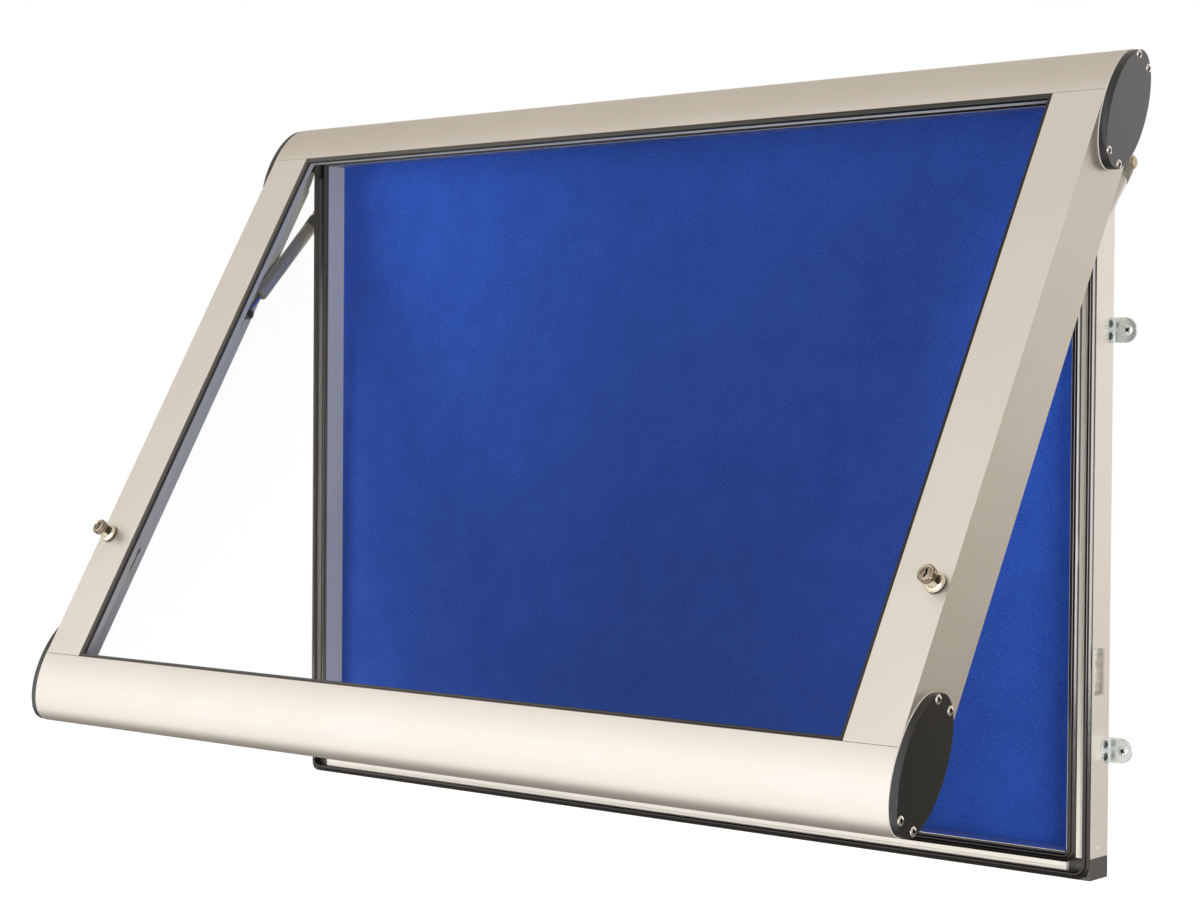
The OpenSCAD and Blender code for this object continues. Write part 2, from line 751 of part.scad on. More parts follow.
module lock_plug(side) {
    keyway = [1.6, 3, 7];
    color(nickel) lock_frame(side) difference() {
        union() {
            y_rod([0, -lock_proud, 0], plug_r, lock_proud + cam_in);
            translate([-tail_w / 2, cam_in - eps, -tail_w / 2]) cube([tail_w, cam_t + 1, tail_w]);
        }
        translate([-keyway[0] / 2, -lock_proud - 1, -keyway[2] / 2])
            cube([keyway[0], keyway[1] + 1, keyway[2]]);
    }
}

module lock_plug_left() { lock_plug(-1); }
module lock_plug_right() { lock_plug(1); }

// unlocked, the cam hangs down beside the case
module lock_cam(side) {
    tail_gap = 0.1;
    color(zinc) lock_frame(side) translate([0, cam_in + cam_t, 0]) rotate([90, 0, 0])
        linear_extrude(cam_t) difference() {
            union() {
                circle(cam_w / 2 + 1);
                translate([0, -cam_reach + cam_w / 2]) circle(cam_w / 2);
                translate([-cam_w / 2, -cam_reach + cam_w / 2]) square([cam_w, cam_reach - cam_w / 2]);
            }
            square(tail_w + 2 * tail_gap, center = true);
        }
}

module lock_cam_left() { lock_cam(-1); }
module lock_cam_right() { lock_cam(1); }

case_top_profile();
case_bottom_profile();
case_left_profile();
case_right_profile();
corner_block_left();
corner_block_right();
hinge_block_left();
hinge_block_right();
outer_seal();
inner_seal();
back_sheet();
pinboard_core();
felt_cover();
corner_rivets();
wall_bracket_lower_left();
wall_bracket_lower_right();
wall_bracket_upper_left();
wall_bracket_upper_right();
bracket_screws();
hinge_pin_left();
hinge_pin_right();
strut_stud_left();
strut_stud_right();
strut_tube_left();
strut_tube_right();
tube_socket_left();
tube_socket_right();
strut_rod_left();
strut_rod_right();
rod_socket_left();
rod_socket_right();
door_top_rail();
door_bottom_rail();
door_left_stile();
door_right_stile();
glazing_panel();
glazing_gasket();
bead_top();
bead_bottom();
bead_left();
bead_right();
end_cap_top_left();
end_cap_top_right();
end_cap_bottom_left();
end_cap_bottom_right();
end_cap_screws();
strut_bracket_left();
strut_bracket_right();
lock_barrel_left();
lock_barrel_right();
lock_nut_left();
lock_nut_right();
lock_plug_left();
lock_plug_right();
lock_cam_left();
lock_cam_right();
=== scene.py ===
import json
import math

import bmesh
import bpy
from mathutils import Matrix, Vector


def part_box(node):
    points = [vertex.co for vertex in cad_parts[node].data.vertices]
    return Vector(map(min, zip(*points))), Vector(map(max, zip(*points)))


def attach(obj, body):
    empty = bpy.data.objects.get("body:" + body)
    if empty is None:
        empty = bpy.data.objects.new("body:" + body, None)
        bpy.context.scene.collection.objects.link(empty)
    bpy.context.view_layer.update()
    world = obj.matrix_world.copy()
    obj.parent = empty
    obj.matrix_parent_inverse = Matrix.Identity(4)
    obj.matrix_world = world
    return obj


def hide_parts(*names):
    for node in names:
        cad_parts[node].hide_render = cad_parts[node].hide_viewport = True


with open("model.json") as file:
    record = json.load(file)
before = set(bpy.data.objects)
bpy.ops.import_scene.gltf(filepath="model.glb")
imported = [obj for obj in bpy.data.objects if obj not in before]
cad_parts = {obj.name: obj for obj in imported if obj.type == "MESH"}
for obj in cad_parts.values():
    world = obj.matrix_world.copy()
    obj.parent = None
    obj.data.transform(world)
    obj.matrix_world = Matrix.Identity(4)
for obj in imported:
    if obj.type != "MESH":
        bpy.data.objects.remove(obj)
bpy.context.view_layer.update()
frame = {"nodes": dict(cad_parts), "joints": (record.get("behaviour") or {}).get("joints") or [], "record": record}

# Sizes are in millimetres unless a note says otherwise; meshes are scaled once, when a piece is made.
mm = 0.001
record = frame["record"]
bodyOf = {node: body for body, nodes in record["behaviour"]["bodies"].items() for node in nodes}
hinge = next(joint for joint in frame["joints"] if joint["name"] == "door_hinge")
pivot = Vector(hinge["pos_m"]) / mm
openAngle = math.radians(-hinge["range_deg"][0])
doorOpen = Matrix.Translation(pivot) @ Matrix.Rotation(-openAngle, 4, "X") @ Matrix.Translation(-pivot)
stay = Matrix.Identity(4)
sides = {"left": -1, "right": 1}
square = 0.7          # a face looks along an axis where its normal is past this


def boxOf(node):
    low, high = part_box(node)
    return Vector(low) / mm, Vector(high) / mm


def middleOf(node):
    low, high = boxOf(node)
    return (low + high) / 2


def shutBox(node):
    # the box of one of the door's nodes with the door shut
    shut = doorOpen.inverted()
    points = [shut @ (vert.co / mm) for vert in frame["nodes"][node].data.vertices]
    corners = ([round(pick(point[axis] for point in points), 2) for axis in range(3)] for pick in (min, max))
    return [Vector(corner) for corner in corners]


def link(name, data):
    piece = bpy.data.objects.new(name, data)
    bpy.context.collection.objects.link(piece)
    return piece


def meshOf(name, shape):
    mesh = bpy.data.meshes.new(name)
    shape.to_mesh(mesh)
    shape.free()
    return mesh


# camera, light and backdrop
view = {
    "place": (1.55173, -1.97084, 0.11176),       # metres
    "turn": 39.932, "tip": 1.136, "roll": 0.436,  # degrees
    "lens": 73.25, "sensor": 36.0,
}
studio = {
    "floorDrop": 1.15,        # metres below the board's own origin
    "floorSize": 9.0,
    "floorColour": (0.27, 0.265, 0.254),
    "floorGlow": 0.95,        # what the floor adds for the camera, so that it reads white
    # metal mirrors the floor from the first Y on and fully at the second; the third is how strongly
    "floorMirrored": (-0.42, -1.65, 1.2),
    "ambient": ((1.0, 0.975, 0.95), 0.44),
    "around": ((1.0, 0.91, 0.81), 0.68),    # what metal reflects where no panel is
    "glassLoss": 0.14,
    "veil": 0.05,             # the share of it all that the glass mirrors to the front
    "panelColour": (0.97, 1.0, 1.08),
    # mirrored in metal: direction, inner and outer angle, strength (below 0 it darkens)
    "panels": [
        ((-0.50, -0.86, 0.0), 12, 60, 0.95),
        ((-0.52, -0.47, 0.72), 3, 14, 0.3),
        ((0.0, 1.0, 0.0), 30.5, 34.5, 0.72),
        ((0.66, 0.72, -0.22), 15.5, 22, -0.75),
        ((-0.73, -0.22, 0.65), 3, 14, -0.2),
        ((-0.93, 0.25, 0.25), 12, 26, -0.5),
        ((0.56, -0.83, -0.09), 8, 15, 12.0),
        ((0.60, -0.78, 0.0), 16, 32, 0.6),
    ],
    "lampColour": (1.0, 0.97, 0.92),
    "lamps": [                # name, place, target, size (metres), radiance
        ("key", (-1.7, -2.4, 0.5), (-0.1, -0.1, 0.05), 1.9, 3.6),
        ("fill", (2.4, -1.3, -0.3), (0.4, -0.1, 0.0), 1.2, 8.0),
        ("top", (-0.4, -1.4, 2.6), (0.0, -0.2, 0.0), 1.8, 1.0),
    ],
}


def fill(tree, node, inputs):
    # an input takes a plain value, another node's socket, or a node for its first output
    for key, value in inputs.items():
        if isinstance(value, bpy.types.Node):
            value = value.outputs[0]
        if isinstance(value, bpy.types.NodeSocket):
            tree.links.new(value, node.inputs[key])
        else:
            node.inputs[key].default_value = value


def nodeOf(tree, kind, inputs=None, **values):
    node = tree.nodes.new(kind)
    for key, value in values.items():
        setattr(node, key, value)
    fill(tree, node, inputs or {})
    return node


def newMaterial(name):
    material = bpy.data.materials.new(name)
    material.use_nodes = True
    return material, material.node_tree, material.node_tree.nodes["Principled BSDF"]


def sums(tree, operation, first, second):
    return nodeOf(tree, "ShaderNodeMath", {0: first, 1: second}, operation=operation)


def product(tree, first, second):
    return sums(tree, "MULTIPLY", first, second)


def ranged(tree, value, low, high, fromLow=0.3, fromHigh=0.7, kind="LINEAR"):
    return nodeOf(tree, "ShaderNodeMapRange", {"Value": value, "From Min": fromLow, "From Max": fromHigh,
                                               "To Min": low, "To Max": high}, interpolation_type=kind)


def chosen(tree, factor, first, second):
    return nodeOf(tree, "ShaderNodeMixShader", {0: factor, 1: first, 2: second})


def placeOf(tree, vector):
    return nodeOf(tree, "ShaderNodeSeparateXYZ", {0: vector}).outputs


def raysOf(tree):
    return nodeOf(tree, "ShaderNodeLightPath").outputs


def makeCamera():
    data = bpy.data.cameras.new("camera")
    data.lens, data.sensor_width, data.clip_end = view["lens"], view["sensor"], 60
    camera = link("camera", data)
    turn, tip, roll = (math.radians(view[key]) for key in ("turn", "tip", "roll"))
    aim = (Matrix.Rotation(turn, 4, "Z") @ Matrix.Rotation(-tip, 4, "X")
           @ Matrix.Rotation(-roll, 4, "Y") @ Matrix.Rotation(math.pi / 2, 4, "X"))
    camera.matrix_world = Matrix.Translation(view["place"]) @ aim
    bpy.context.scene.camera = camera


def directRays(tree):
    # 1 for what the camera sees, also through the glass
    rays = raysOf(tree)
    bounces = sums(tree, "ADD", rays["Glossy Depth"], rays["Diffuse Depth"])
    through = product(tree, rays["Is Transmission Ray"], sums(tree, "LESS_THAN", bounces, 0.5))
    return sums(tree, "MAXIMUM", rays["Is Camera Ray"], through)


def mirroredInGlass(tree):
    # 1 for what the glass mirrors, on its front and inside it
    rays = raysOf(tree)
    front = product(tree, rays["Is Singular Ray"], rays["Is Glossy Ray"])
    mirrored = sums(tree, "GREATER_THAN", rays["Glossy Depth"], 0.5)
    inside = product(tree, rays["Is Transmission Ray"], mirrored)
    inside = product(tree, inside, sums(tree, "LESS_THAN", rays["Transmission Depth"], 2.5))
    return sums(tree, "MAXIMUM", front, inside)


def shown(tree):
    # the share of the surroundings that shows, less in the glass
    return sums(tree, "SUBTRACT", 1.0, product(tree, mirroredInGlass(tree), 1 - studio["veil"]))


def glowOf(tree, colour, strength):
    return nodeOf(tree, "ShaderNodeBackground", {"Color": (*colour, 1), "Strength": strength})


def makeWorld():
    world = bpy.data.worlds.new("studio")
    bpy.context.scene.world = world
    world.use_nodes = True
    world.cycles.sampling_method = "NONE"
    tree = world.node_tree
    tree.nodes.clear()
    around = nodeOf(tree, "ShaderNodeTexCoord").outputs["Generated"]
    rays, share, total = raysOf(tree), shown(tree), 0.0
    for direction, inner, outer, strength in studio["panels"]:
        facing = nodeOf(tree, "ShaderNodeVectorMath", {0: around, 1: Vector(direction).normalized()},
                        operation="DOT_PRODUCT").outputs["Value"]
        edges = (math.cos(math.radians(angle)) for angle in (outer, inner))
        total = sums(tree, "ADD", ranged(tree, facing, 0.0, strength, *edges, "SMOOTHSTEP"), total)
    # the panels show in the first mirroring only, so that no bright spot is thrown from piece to piece
    total = product(tree, total, sums(tree, "LESS_THAN", rays["Glossy Depth"], 1.5))
    plain, strength = studio["around"]
    mirrored = nodeOf(tree, "ShaderNodeAddShader", {
        0: glowOf(tree, plain, product(tree, share, strength)),
        1: glowOf(tree, studio["panelColour"], product(tree, share, total))})
    glossy = sums(tree, "GREATER_THAN", rays["Glossy Depth"], 0.5)
    light = chosen(tree, glossy, glowOf(tree, *studio["ambient"]), mirrored)
    # the glass takes a little of the white behind it, which is given back here
    white = sums(tree, "ADD", 1.0, product(tree, rays["Is Transmission Ray"], studio["glassLoss"]))
    seen = chosen(tree, directRays(tree), light, glowOf(tree, (1, 1, 1), white))
    nodeOf(tree, "ShaderNodeOutputWorld", {"Surface": seen})


def makeLamps():
    for name, place, target, size, radiance in studio["lamps"]:
        data = bpy.data.lights.new(name, "AREA")
        data.size = size
        data.energy = radiance * math.pi * size * size
        data.color = studio["lampColour"]
        lamp = link(name, data)
        lamp.location = place
        lamp.rotation_euler = (Vector(target) - Vector(place)).to_track_quat("-Z", "Y").to_euler()
        lamp.visible_camera = lamp.visible_glossy = lamp.visible_transmission = False


def makeFloor():
    material, tree, surface = newMaterial("paleFloor")
    place = placeOf(tree, nodeOf(tree, "ShaderNodeTexCoord").outputs["Object"])
    near, far, strength = studio["floorMirrored"]
    ramp = ranged(tree, place["Y"], 0.0, strength, near, far, "SMOOTHSTEP")
    glossy = product(tree, raysOf(tree)["Is Glossy Ray"], shown(tree))
    direct = product(tree, directRays(tree), studio["floorGlow"])
    glow = sums(tree, "ADD", direct, product(tree, ramp, glossy))
    fill(tree, surface, {"Base Color": (*studio["floorColour"], 1), "Roughness": 0.9,
                         "Emission Color": (1, 1, 1, 1), "Emission Strength": glow})
    # the glass doesn't mirror the floor, which would draw a line across it
    seen = chosen(tree, mirroredInGlass(tree), surface, nodeOf(tree, "ShaderNodeBsdfTransparent"))
    fill(tree, tree.nodes["Material Output"], {"Surface": seen})
    shape = bmesh.new()
    bmesh.ops.create_circle(shape, cap_ends=True, radius=studio["floorSize"], segments=96,
                            matrix=Matrix.Translation((0, 0, -studio["floorDrop"])))
    floor = link("floor", meshOf("floor", shape))
    floor.data.materials.append(material)


bpy.context.scene.view_settings.view_transform = "Standard"
makeCamera()
makeWorld()
makeLamps()
makeFloor()
print("camera, light and floor set")

# materials
alongX, alongZ = (6, 900, 900), (900, 900, 6)       # grains per metre of a finish that is drawn along an axis
# colour, deeper colour, metallic, roughness, patches per metre, grains per metre, bump in thousandths of a mm
finishes = {
    "anodisedLevel": ((0.72, 0.683, 0.63), (0.69, 0.652, 0.597), 0.82, (0.36, 0.42), 7, alongX, 12),
    "anodisedStile": ((0.72, 0.683, 0.63), (0.69, 0.652, 0.597), 0.82, (0.36, 0.43), 9, alongZ, 12),
    "anodisedCase": ((0.90, 0.855, 0.785), (0.88, 0.835, 0.76), 0.35, (0.3, 0.38), 7, alongZ, 12),
    "blockPlastic": ((0.105, 0.102, 0.098), (0.092, 0.089, 0.086), 0.0, (0.24, 0.32), 20, 900, 6),
    "darkPlastic": ((0.009, 0.0102, 0.011), (0.008, 0.0092, 0.01), 0.0, (0.2, 0.24), 20, 900, 6),
    "rubber": ((0.006, 0.0058, 0.0056), (0.004, 0.0039, 0.0038), 0.0, (0.08, 0.13), 14, 260, 10),
    "zinc": ((0.72, 0.78, 0.765), (0.56, 0.615, 0.605), 0.55, (0.2, 0.3), 60, 500, 6),
    "boltSteel": ((0.20, 0.21, 0.21), (0.15, 0.16, 0.16), 1.0, (0.1, 0.16), 90, 700, 6),
    "wallSteel": ((0.86, 0.87, 0.84), (0.78, 0.79, 0.77), 0.35, (0.3, 0.4), 90, 700, 6),
    "camSteel": ((0.80, 0.78, 0.74), (0.72, 0.70, 0.665), 0.1, (0.4, 0.5), 60, 500, 6),
    "screwSteel": ((0.80, 0.79, 0.77), (0.72, 0.71, 0.69), 1.0, (0.16, 0.24), 90, 700, 6),
    "sealant": ((0.80, 0.77, 0.72), (0.74, 0.71, 0.66), 0.0, (0.3, 0.4), 90, 700, 10),
    "nickel": ((0.60, 0.52, 0.42), (0.46, 0.39, 0.30), 1.0, (0.06, 0.12), 90, 900, 10),
    "plugNickel": ((0.42, 0.345, 0.27), (0.33, 0.265, 0.2), 0.95, (0.1, 0.18), 160, 900, 10),
    "roseNickel": ((0.93, 0.86, 0.74), (0.80, 0.72, 0.60), 0.9, (0.26, 0.36), 220, 700, 8),
    "lockShade": ((0.10, 0.085, 0.06), (0.05, 0.042, 0.03), 0.9, (0.1, 0.2), 160, 900, 10),
    "brass": ((0.62, 0.51, 0.38), (0.5, 0.41, 0.30), 0.6, (0.28, 0.4), 90, 900, 20),
    "strutFitting": ((0.26, 0.265, 0.215), (0.2, 0.2, 0.17), 0.35, (0.3, 0.42), 60, 1200, 20),
    "strutTube": ((0.60, 0.565, 0.515), (0.54, 0.505, 0.46), 0.45, (0.26, 0.36), 40, 700, 10),
    "polishedRod": ((0.66, 0.66, 0.66), (0.58, 0.58, 0.58), 1.0, (0.08, 0.14), 40, 900, 5),
    "bead": ((0.74, 0.715, 0.675), (0.67, 0.648, 0.612), 0.0, (0.4, 0.5), 20, alongX, 10),
    "innerWall": ((0.42, 0.42, 0.43), (0.38, 0.38, 0.39), 0.9, (0.3, 0.38), 7, alongX, 10),
    "innerSide": ((0.86, 0.81, 0.74), (0.80, 0.755, 0.69), 0.15, (0.36, 0.42), 7, alongZ, 10),
    "shadedWeb": ((0.21, 0.197, 0.18), (0.17, 0.16, 0.145), 0.2, (0.36, 0.42), 9, alongZ, 10),
    "liner": ((0.74, 0.72, 0.67), (0.40, 0.39, 0.365), 0.25, (0.25, 0.4), 210, 900, 50),
    "fibreCore": ((0.42, 0.3, 0.17), (0.3, 0.2, 0.11), 0.0, (0.8, 0.95), 120, 900, 300),
    "keywayBlack": ((0.004, 0.003, 0.003), (0.002, 0.002, 0.002), 0.0, (0.6, 0.8), 90, 900, 20),
}
# tilt turns the grain about X; a finish with painted light pales to that colour from the first X to the second, in
# metres,
# and only above the given level: painted light that greys the rubber towards the left
extras = {
    "anodisedStile": {"tilt": openAngle},
    "darkPlastic": {"specular": 0.62},
    "rubber": {"specular": 0.62, "tint": (1.0, 0.93, 0.84), "paintedPale": (0.12, 0.111, 0.102),
               "paintedPaleAlongX": (0.36, -0.34), "paintedPaleAbove": -0.27, "paintedPaleAboveEdge": 0.03},
    "keywayBlack": {"specular": 0.05},
}
galvanised = {"colours": ((0.50, 0.52, 0.53), (0.66, 0.68, 0.69)), "roughness": (0.3, 0.48), "metallic": 0.85,
              "spangles": 95.0, "grains": 60, "bump": 0.0002, "bumpShare": 0.5}   # spangles, grains per metre
clearGlass = {"colour": (0.985, 0.995, 0.99, 1), "ior": 1.5, "shadow": (0.93, 0.96, 0.945, 1)}
finishes["gasketRubber"] = finishes["rubber"]
# the gasket's rubber takes a darker painted pallor
extras["gasketRubber"] = {**extras["rubber"], "paintedPale": (0.05, 0.047, 0.043)}
feltDyeAndPaintedLight = {
    "colours": ((0.0185, 0.0575, 0.33), (0.029, 0.089, 0.45)),
    "cloud": 26, "tuft": 560, "fibre": (1500, 1500, 260),       # per metre
    "cloudShare": 0.2, "contrast": (0.42, 0.58), "roughness": 0.92, "specular": 0.2,
    "bump": 0.00025, "bumpShare": 0.5,
    "sheen": 0.22, "sheenRoughness": 0.45, "sheenColour": (0.25, 0.42, 1.0, 1.0),
    # painted light and shade: the brightness painted into the felt's colour at two places along X or Z, in metres
    "paintedLightLeft": (1.0, 1.62, -0.05, -0.40), "paintedLightRight": (1.0, 1.45, 0.30, 0.43),
    "height": (0.94, 1.3, -0.05, 0.36),
}


def coordinates(tree, scale=(1, 1, 1), tilt=0.0):
    source = nodeOf(tree, "ShaderNodeTexCoord").outputs["Object"]
    return nodeOf(tree, "ShaderNodeMapping", {"Vector": source, "Rotation": (tilt, 0, 0), "Scale": scale})


def noise(tree, vector, scale, detail=3.0, roughness=0.5):
    return nodeOf(tree, "ShaderNodeTexNoise", {"Vector": vector, "Scale": scale, "Detail": detail,
                                               "Roughness": roughness}).outputs["Fac"]


def blended(tree, factor, *colours):
    # each colour is three numbers or a socket
    mix = nodeOf(tree, "ShaderNodeMix", {"Factor": factor}, data_type="RGBA")
    places = [place for place, socket in enumerate(mix.inputs) if socket.type == "RGBA"]
    fill(tree, mix, {place: (*colour, 1) if isinstance(colour, tuple) else colour
                     for place, colour in zip(places, colours)})
    return next(socket for socket in mix.outputs if socket.type == "RGBA")


def roughened(tree, surface, height, distance, strength=1.0):
    bump = nodeOf(tree, "ShaderNodeBump", {"Distance": distance, "Strength": strength, "Height": height})
    fill(tree, surface, {"Normal": bump})


def makeFinish(name, colour, deep, metallic, roughness, patches, grains, bump):
    material, tree, surface = newMaterial(name)
    extra = extras.get(name, {})
    plain = coordinates(tree)
    scale = grains if isinstance(grains, tuple) else (grains,) * 3
    grain = noise(tree, coordinates(tree, scale, extra.get("tilt", 0)), 1.0, 2.0)
    tone = blended(tree, ranged(tree, noise(tree, plain, patches, 4.0), 0, 1), deep, colour)
    # painted light: the rubber is painted paler towards the left, above a given height
    if "paintedPale" in extra:
        place, level = placeOf(tree, plain), extra["paintedPaleAbove"]
        share = product(tree, ranged(tree, place["X"], 0, 1, *extra["paintedPaleAlongX"]),
                     ranged(tree, place["Z"], 0, 1, level, level + extra["paintedPaleAboveEdge"]))
        tone = blended(tree, share, tone, extra["paintedPale"])
    fill(tree, surface, {"Base Color": tone, "Roughness": ranged(tree, grain, *roughness),
                         "Metallic": metallic, "Specular IOR Level": extra.get("specular", 0.5),
                         "Specular Tint": (*extra.get("tint", (1, 1, 1)), 1)})
    roughened(tree, surface, grain, bump * 1e-6)
    return material


def makeFelt():
    material, tree, surface = newMaterial("blueFelt")
    plain = coordinates(tree)
    cloud = noise(tree, plain, feltDyeAndPaintedLight["cloud"], 5.0, 0.6)
    tuft = noise(tree, plain, feltDyeAndPaintedLight["tuft"], 4.0, 0.65)
    fibre = noise(tree, coordinates(tree, feltDyeAndPaintedLight["fibre"]), 1.0, 3.0)
    share = feltDyeAndPaintedLight["cloudShare"]
    patches = sums(tree, "ADD", product(tree, cloud, share), product(tree, tuft, 1 - share))
    dyed = blended(tree, ranged(tree, patches, 0, 1, *feltDyeAndPaintedLight["contrast"]), *feltDyeAndPaintedLight["colours"])
    # painted light: the felt's colour is made brighter towards the left, the right edge and the top, and darker
    # towards the bottom
    place = placeOf(tree, plain)
    left, right = (ranged(tree, place["X"], *feltDyeAndPaintedLight[key]) for key in ("paintedLightLeft", "paintedLightRight"))
    paintedSideLight = sums(tree, "MAXIMUM", left, right)
    light = product(tree, paintedSideLight, ranged(tree, place["Z"], *feltDyeAndPaintedLight["height"]))
    dyeUnderPaintedLight = nodeOf(tree, "ShaderNodeVectorMath", {0: dyed, "Scale": light}, operation="SCALE")
    fill(tree, surface, {
        "Base Color": dyeUnderPaintedLight, "Roughness": feltDyeAndPaintedLight["roughness"],
        "Specular IOR Level": feltDyeAndPaintedLight["specular"],
        "Sheen Weight": feltDyeAndPaintedLight["sheen"], "Sheen Roughness": feltDyeAndPaintedLight["sheenRoughness"],
        "Sheen Tint": feltDyeAndPaintedLight["sheenColour"]})
    roughened(tree, surface, sums(tree, "ADD", tuft, fibre), feltDyeAndPaintedLight["bump"], feltDyeAndPaintedLight["bumpShare"])
    return material


def makeGalvanised():
    material, tree, surface = newMaterial("galvanised")
    plain = coordinates(tree)
    spangle = nodeOf(tree, "ShaderNodeTexVoronoi", {"Vector": plain, "Scale": galvanised["spangles"],
                                                    "Randomness": 1.0})
    parts = nodeOf(tree, "ShaderNodeSeparateColor", {0: spangle.outputs["Color"]}).outputs
    fill(tree, surface, {"Base Color": blended(tree, parts[0], *galvanised["colours"]),
                         "Roughness": ranged(tree, parts[1], *galvanised["roughness"], 0, 1),
                         "Metallic": galvanised["metallic"]})
    grain = noise(tree, plain, galvanised["grains"])
    roughened(tree, surface, grain, galvanised["bump"], galvanised["bumpShare"])
    return material


def makeGlass():
    # clear to the lamps, so that its shadow is faint
    material, tree, surface = newMaterial("clearGlass")
    fill(tree, surface, {"Base Color": clearGlass["colour"], "Roughness": 0.0, "IOR": clearGlass["ior"],
                         "Transmission Weight": 1.0})
    clear = nodeOf(tree, "ShaderNodeBsdfTransparent", {"Color": clearGlass["shadow"]})
    fill(tree, tree.nodes["Material Output"],
         {"Surface": chosen(tree, raysOf(tree)["Is Shadow Ray"], surface, clear)})
    return material


materials = {name: makeFinish(name, *look) for name, look in finishes.items()}
materials["felt"] = makeFelt()
materials["galvanised"] = makeGalvanised()
materials["glass"] = makeGlass()
print("materials made:", len(materials))


# mesh tools
def baked(piece):
    # the evaluated mesh takes the place of the modifiers
    bpy.context.view_layer.update()
    evaluated = piece.evaluated_get(bpy.context.evaluated_depsgraph_get())
    mesh = bpy.data.meshes.new_from_object(evaluated)
    piece.modifiers.clear()
    piece.data = mesh
    return piece


def shade(mesh, angle=35):
    mesh.shade_smooth()
    mesh.set_sharp_from_angle(angle=math.radians(angle))


def eased(piece, width, angle=32):
    soften = piece.modifiers.new("edges", "BEVEL")
    soften.width, soften.segments = width * mm, 2
    soften.limit_method, soften.angle_limit = "ANGLE", math.radians(angle)
    soften.harden_normals = True
    return baked(piece)


def inMetres(pose):
    # a pose in millimetres, for a mesh that is in metres
    return Matrix.Scale(mm, 4) @ pose @ Matrix.Scale(1 / mm, 4)


def coat(piece, *names):
    for name in names:
        piece.data.materials.append(materials[name])


def settle(piece, finish, nodes=(), body=None):
    # gives a finished mesh its material, its body and the nodes that it stands for
    if finish:
        piece.data.materials.clear()
        coat(piece, finish)
    nodes = [nodes] if isinstance(nodes, str) else list(nodes)
    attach(piece, body or bodyOf[nodes[0]])
    if nodes:
        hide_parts(*nodes)
    return piece


def solid(name, shape, pose=stay, bevel=0.0, angle=35):
    # shape is a bmesh in millimetres; the object is in metres, at the origin
    bmesh.ops.remove_doubles(shape, verts=shape.verts, dist=0.0005)
    bmesh.ops.recalc_face_normals(shape, faces=shape.faces)
    mesh = meshOf(name, shape)
    mesh.transform(Matrix.Scale(mm, 4) @ pose)
    shade(mesh, angle)
    piece = link(name, mesh)
    return eased(piece, bevel) if bevel else piece


def refined(name, node, finish, bevel, adjust=None):
    # a CAD node with its coplanar triangles joined and its edges eased
    shape = bmesh.new()
    shape.from_mesh(frame["nodes"][node].data)
    bmesh.ops.scale(shape, vec=(1 / mm,) * 3, verts=shape.verts)
    bmesh.ops.remove_doubles(shape, verts=shape.verts, dist=0.002)
    bmesh.ops.dissolve_limit(shape, angle_limit=math.radians(0.4), verts=shape.verts, edges=shape.edges)
    if adjust:
        adjust(shape)
    return settle(solid(name, shape, bevel=bevel), finish, node)


def partlyIn(piece, finish, chosenFace, pose=stay):
    # gives another finish to the faces that chosenFace(centre, normal) picks, both before the pose
    coat(piece, finish)
    back = pose.inverted()
    for face in piece.data.polygons:
        if chosenFace(back @ (face.center / mm), back.to_3x3() @ face.normal):
            face.material_index = len(piece.data.materials) - 1
    return piece


def bridged(shape, rings, closed=False):
    # faces between rings that follow one another, any of which may be a single point
    for near, far in zip(rings, rings[1:] + (rings[:1] if closed else [])):
        count = max(len(near), len(far))
        for i in range(count):
            j = (i + 1) % count
            corners = near[i % len(near)], near[j % len(near)], far[j % len(far)], far[i % len(far)]
            shape.faces.new(list(dict.fromkeys(corners)))


def prism(outline, placed, start, end):
    # placed(a, b, along) gives the point of an outline point (a, b) at that distance
    shape = bmesh.new()
    first, last = ([shape.verts.new(placed(a, b, along)) for a, b in outline] for along in (start, end))
    bridged(shape, [first, last])
    shape.faces.new(first)
    shape.faces.new(last[::-1])
    return shape


def lathe(shape, profile, pose, steps=48, closed=False):
    # profile is (radius, distance along the axis); the axis is the pose's Z
    rings = []
    for radius, along in profile:
        angles = [2 * math.pi * i / steps for i in range(steps)] if radius > 0 else [0]
        rings.append([shape.verts.new(pose @ Vector((radius * math.cos(a), radius * math.sin(a), along)))
                      for a in angles])
    bridged(shape, rings, closed)
    return shape


def softened(points, radius, closed=True, steps=4):
    # rounds each corner of an outline
    made = []
    count = len(points)
    for i, corner in enumerate(points):
        if not closed and i in (0, count - 1):
            made.append(corner)
            continue
        corner = Vector(corner)
        before, after = Vector(points[i - 1]), Vector(points[(i + 1) % count])
        cut = min(radius, (before - corner).length * 0.45, (after - corner).length * 0.45)
        start = corner + (before - corner).normalized() * cut
        end = corner + (after - corner).normalized() * cut
        for k in range(steps + 1):
            t = k / steps
            made.append(tuple(start * (1 - t) ** 2 + corner * 2 * t * (1 - t) + end * t ** 2))
    return made


def cutBy(piece, cutter):
    tool = piece.modifiers.new("cut", "BOOLEAN")
    tool.operation, tool.object, tool.solver = "DIFFERENCE", cutter, "EXACT"
    baked(piece)
    bpy.data.objects.remove(cutter)
    return piece


# geometry node trees
def newTree(name, inputs):
    tree = bpy.data.node_groups.new(name, "GeometryNodeTree")
    for label, kind in {"Geometry": "Geometry", **inputs}.items():
        tree.interface.new_socket(label, in_out="INPUT", socket_type="NodeSocket" + kind)
    tree.interface.new_socket("Geometry", in_out="OUTPUT", socket_type="NodeSocketGeometry")
    return tree, nodeOf(tree, "NodeGroupInput").outputs, nodeOf(tree, "NodeGroupOutput")


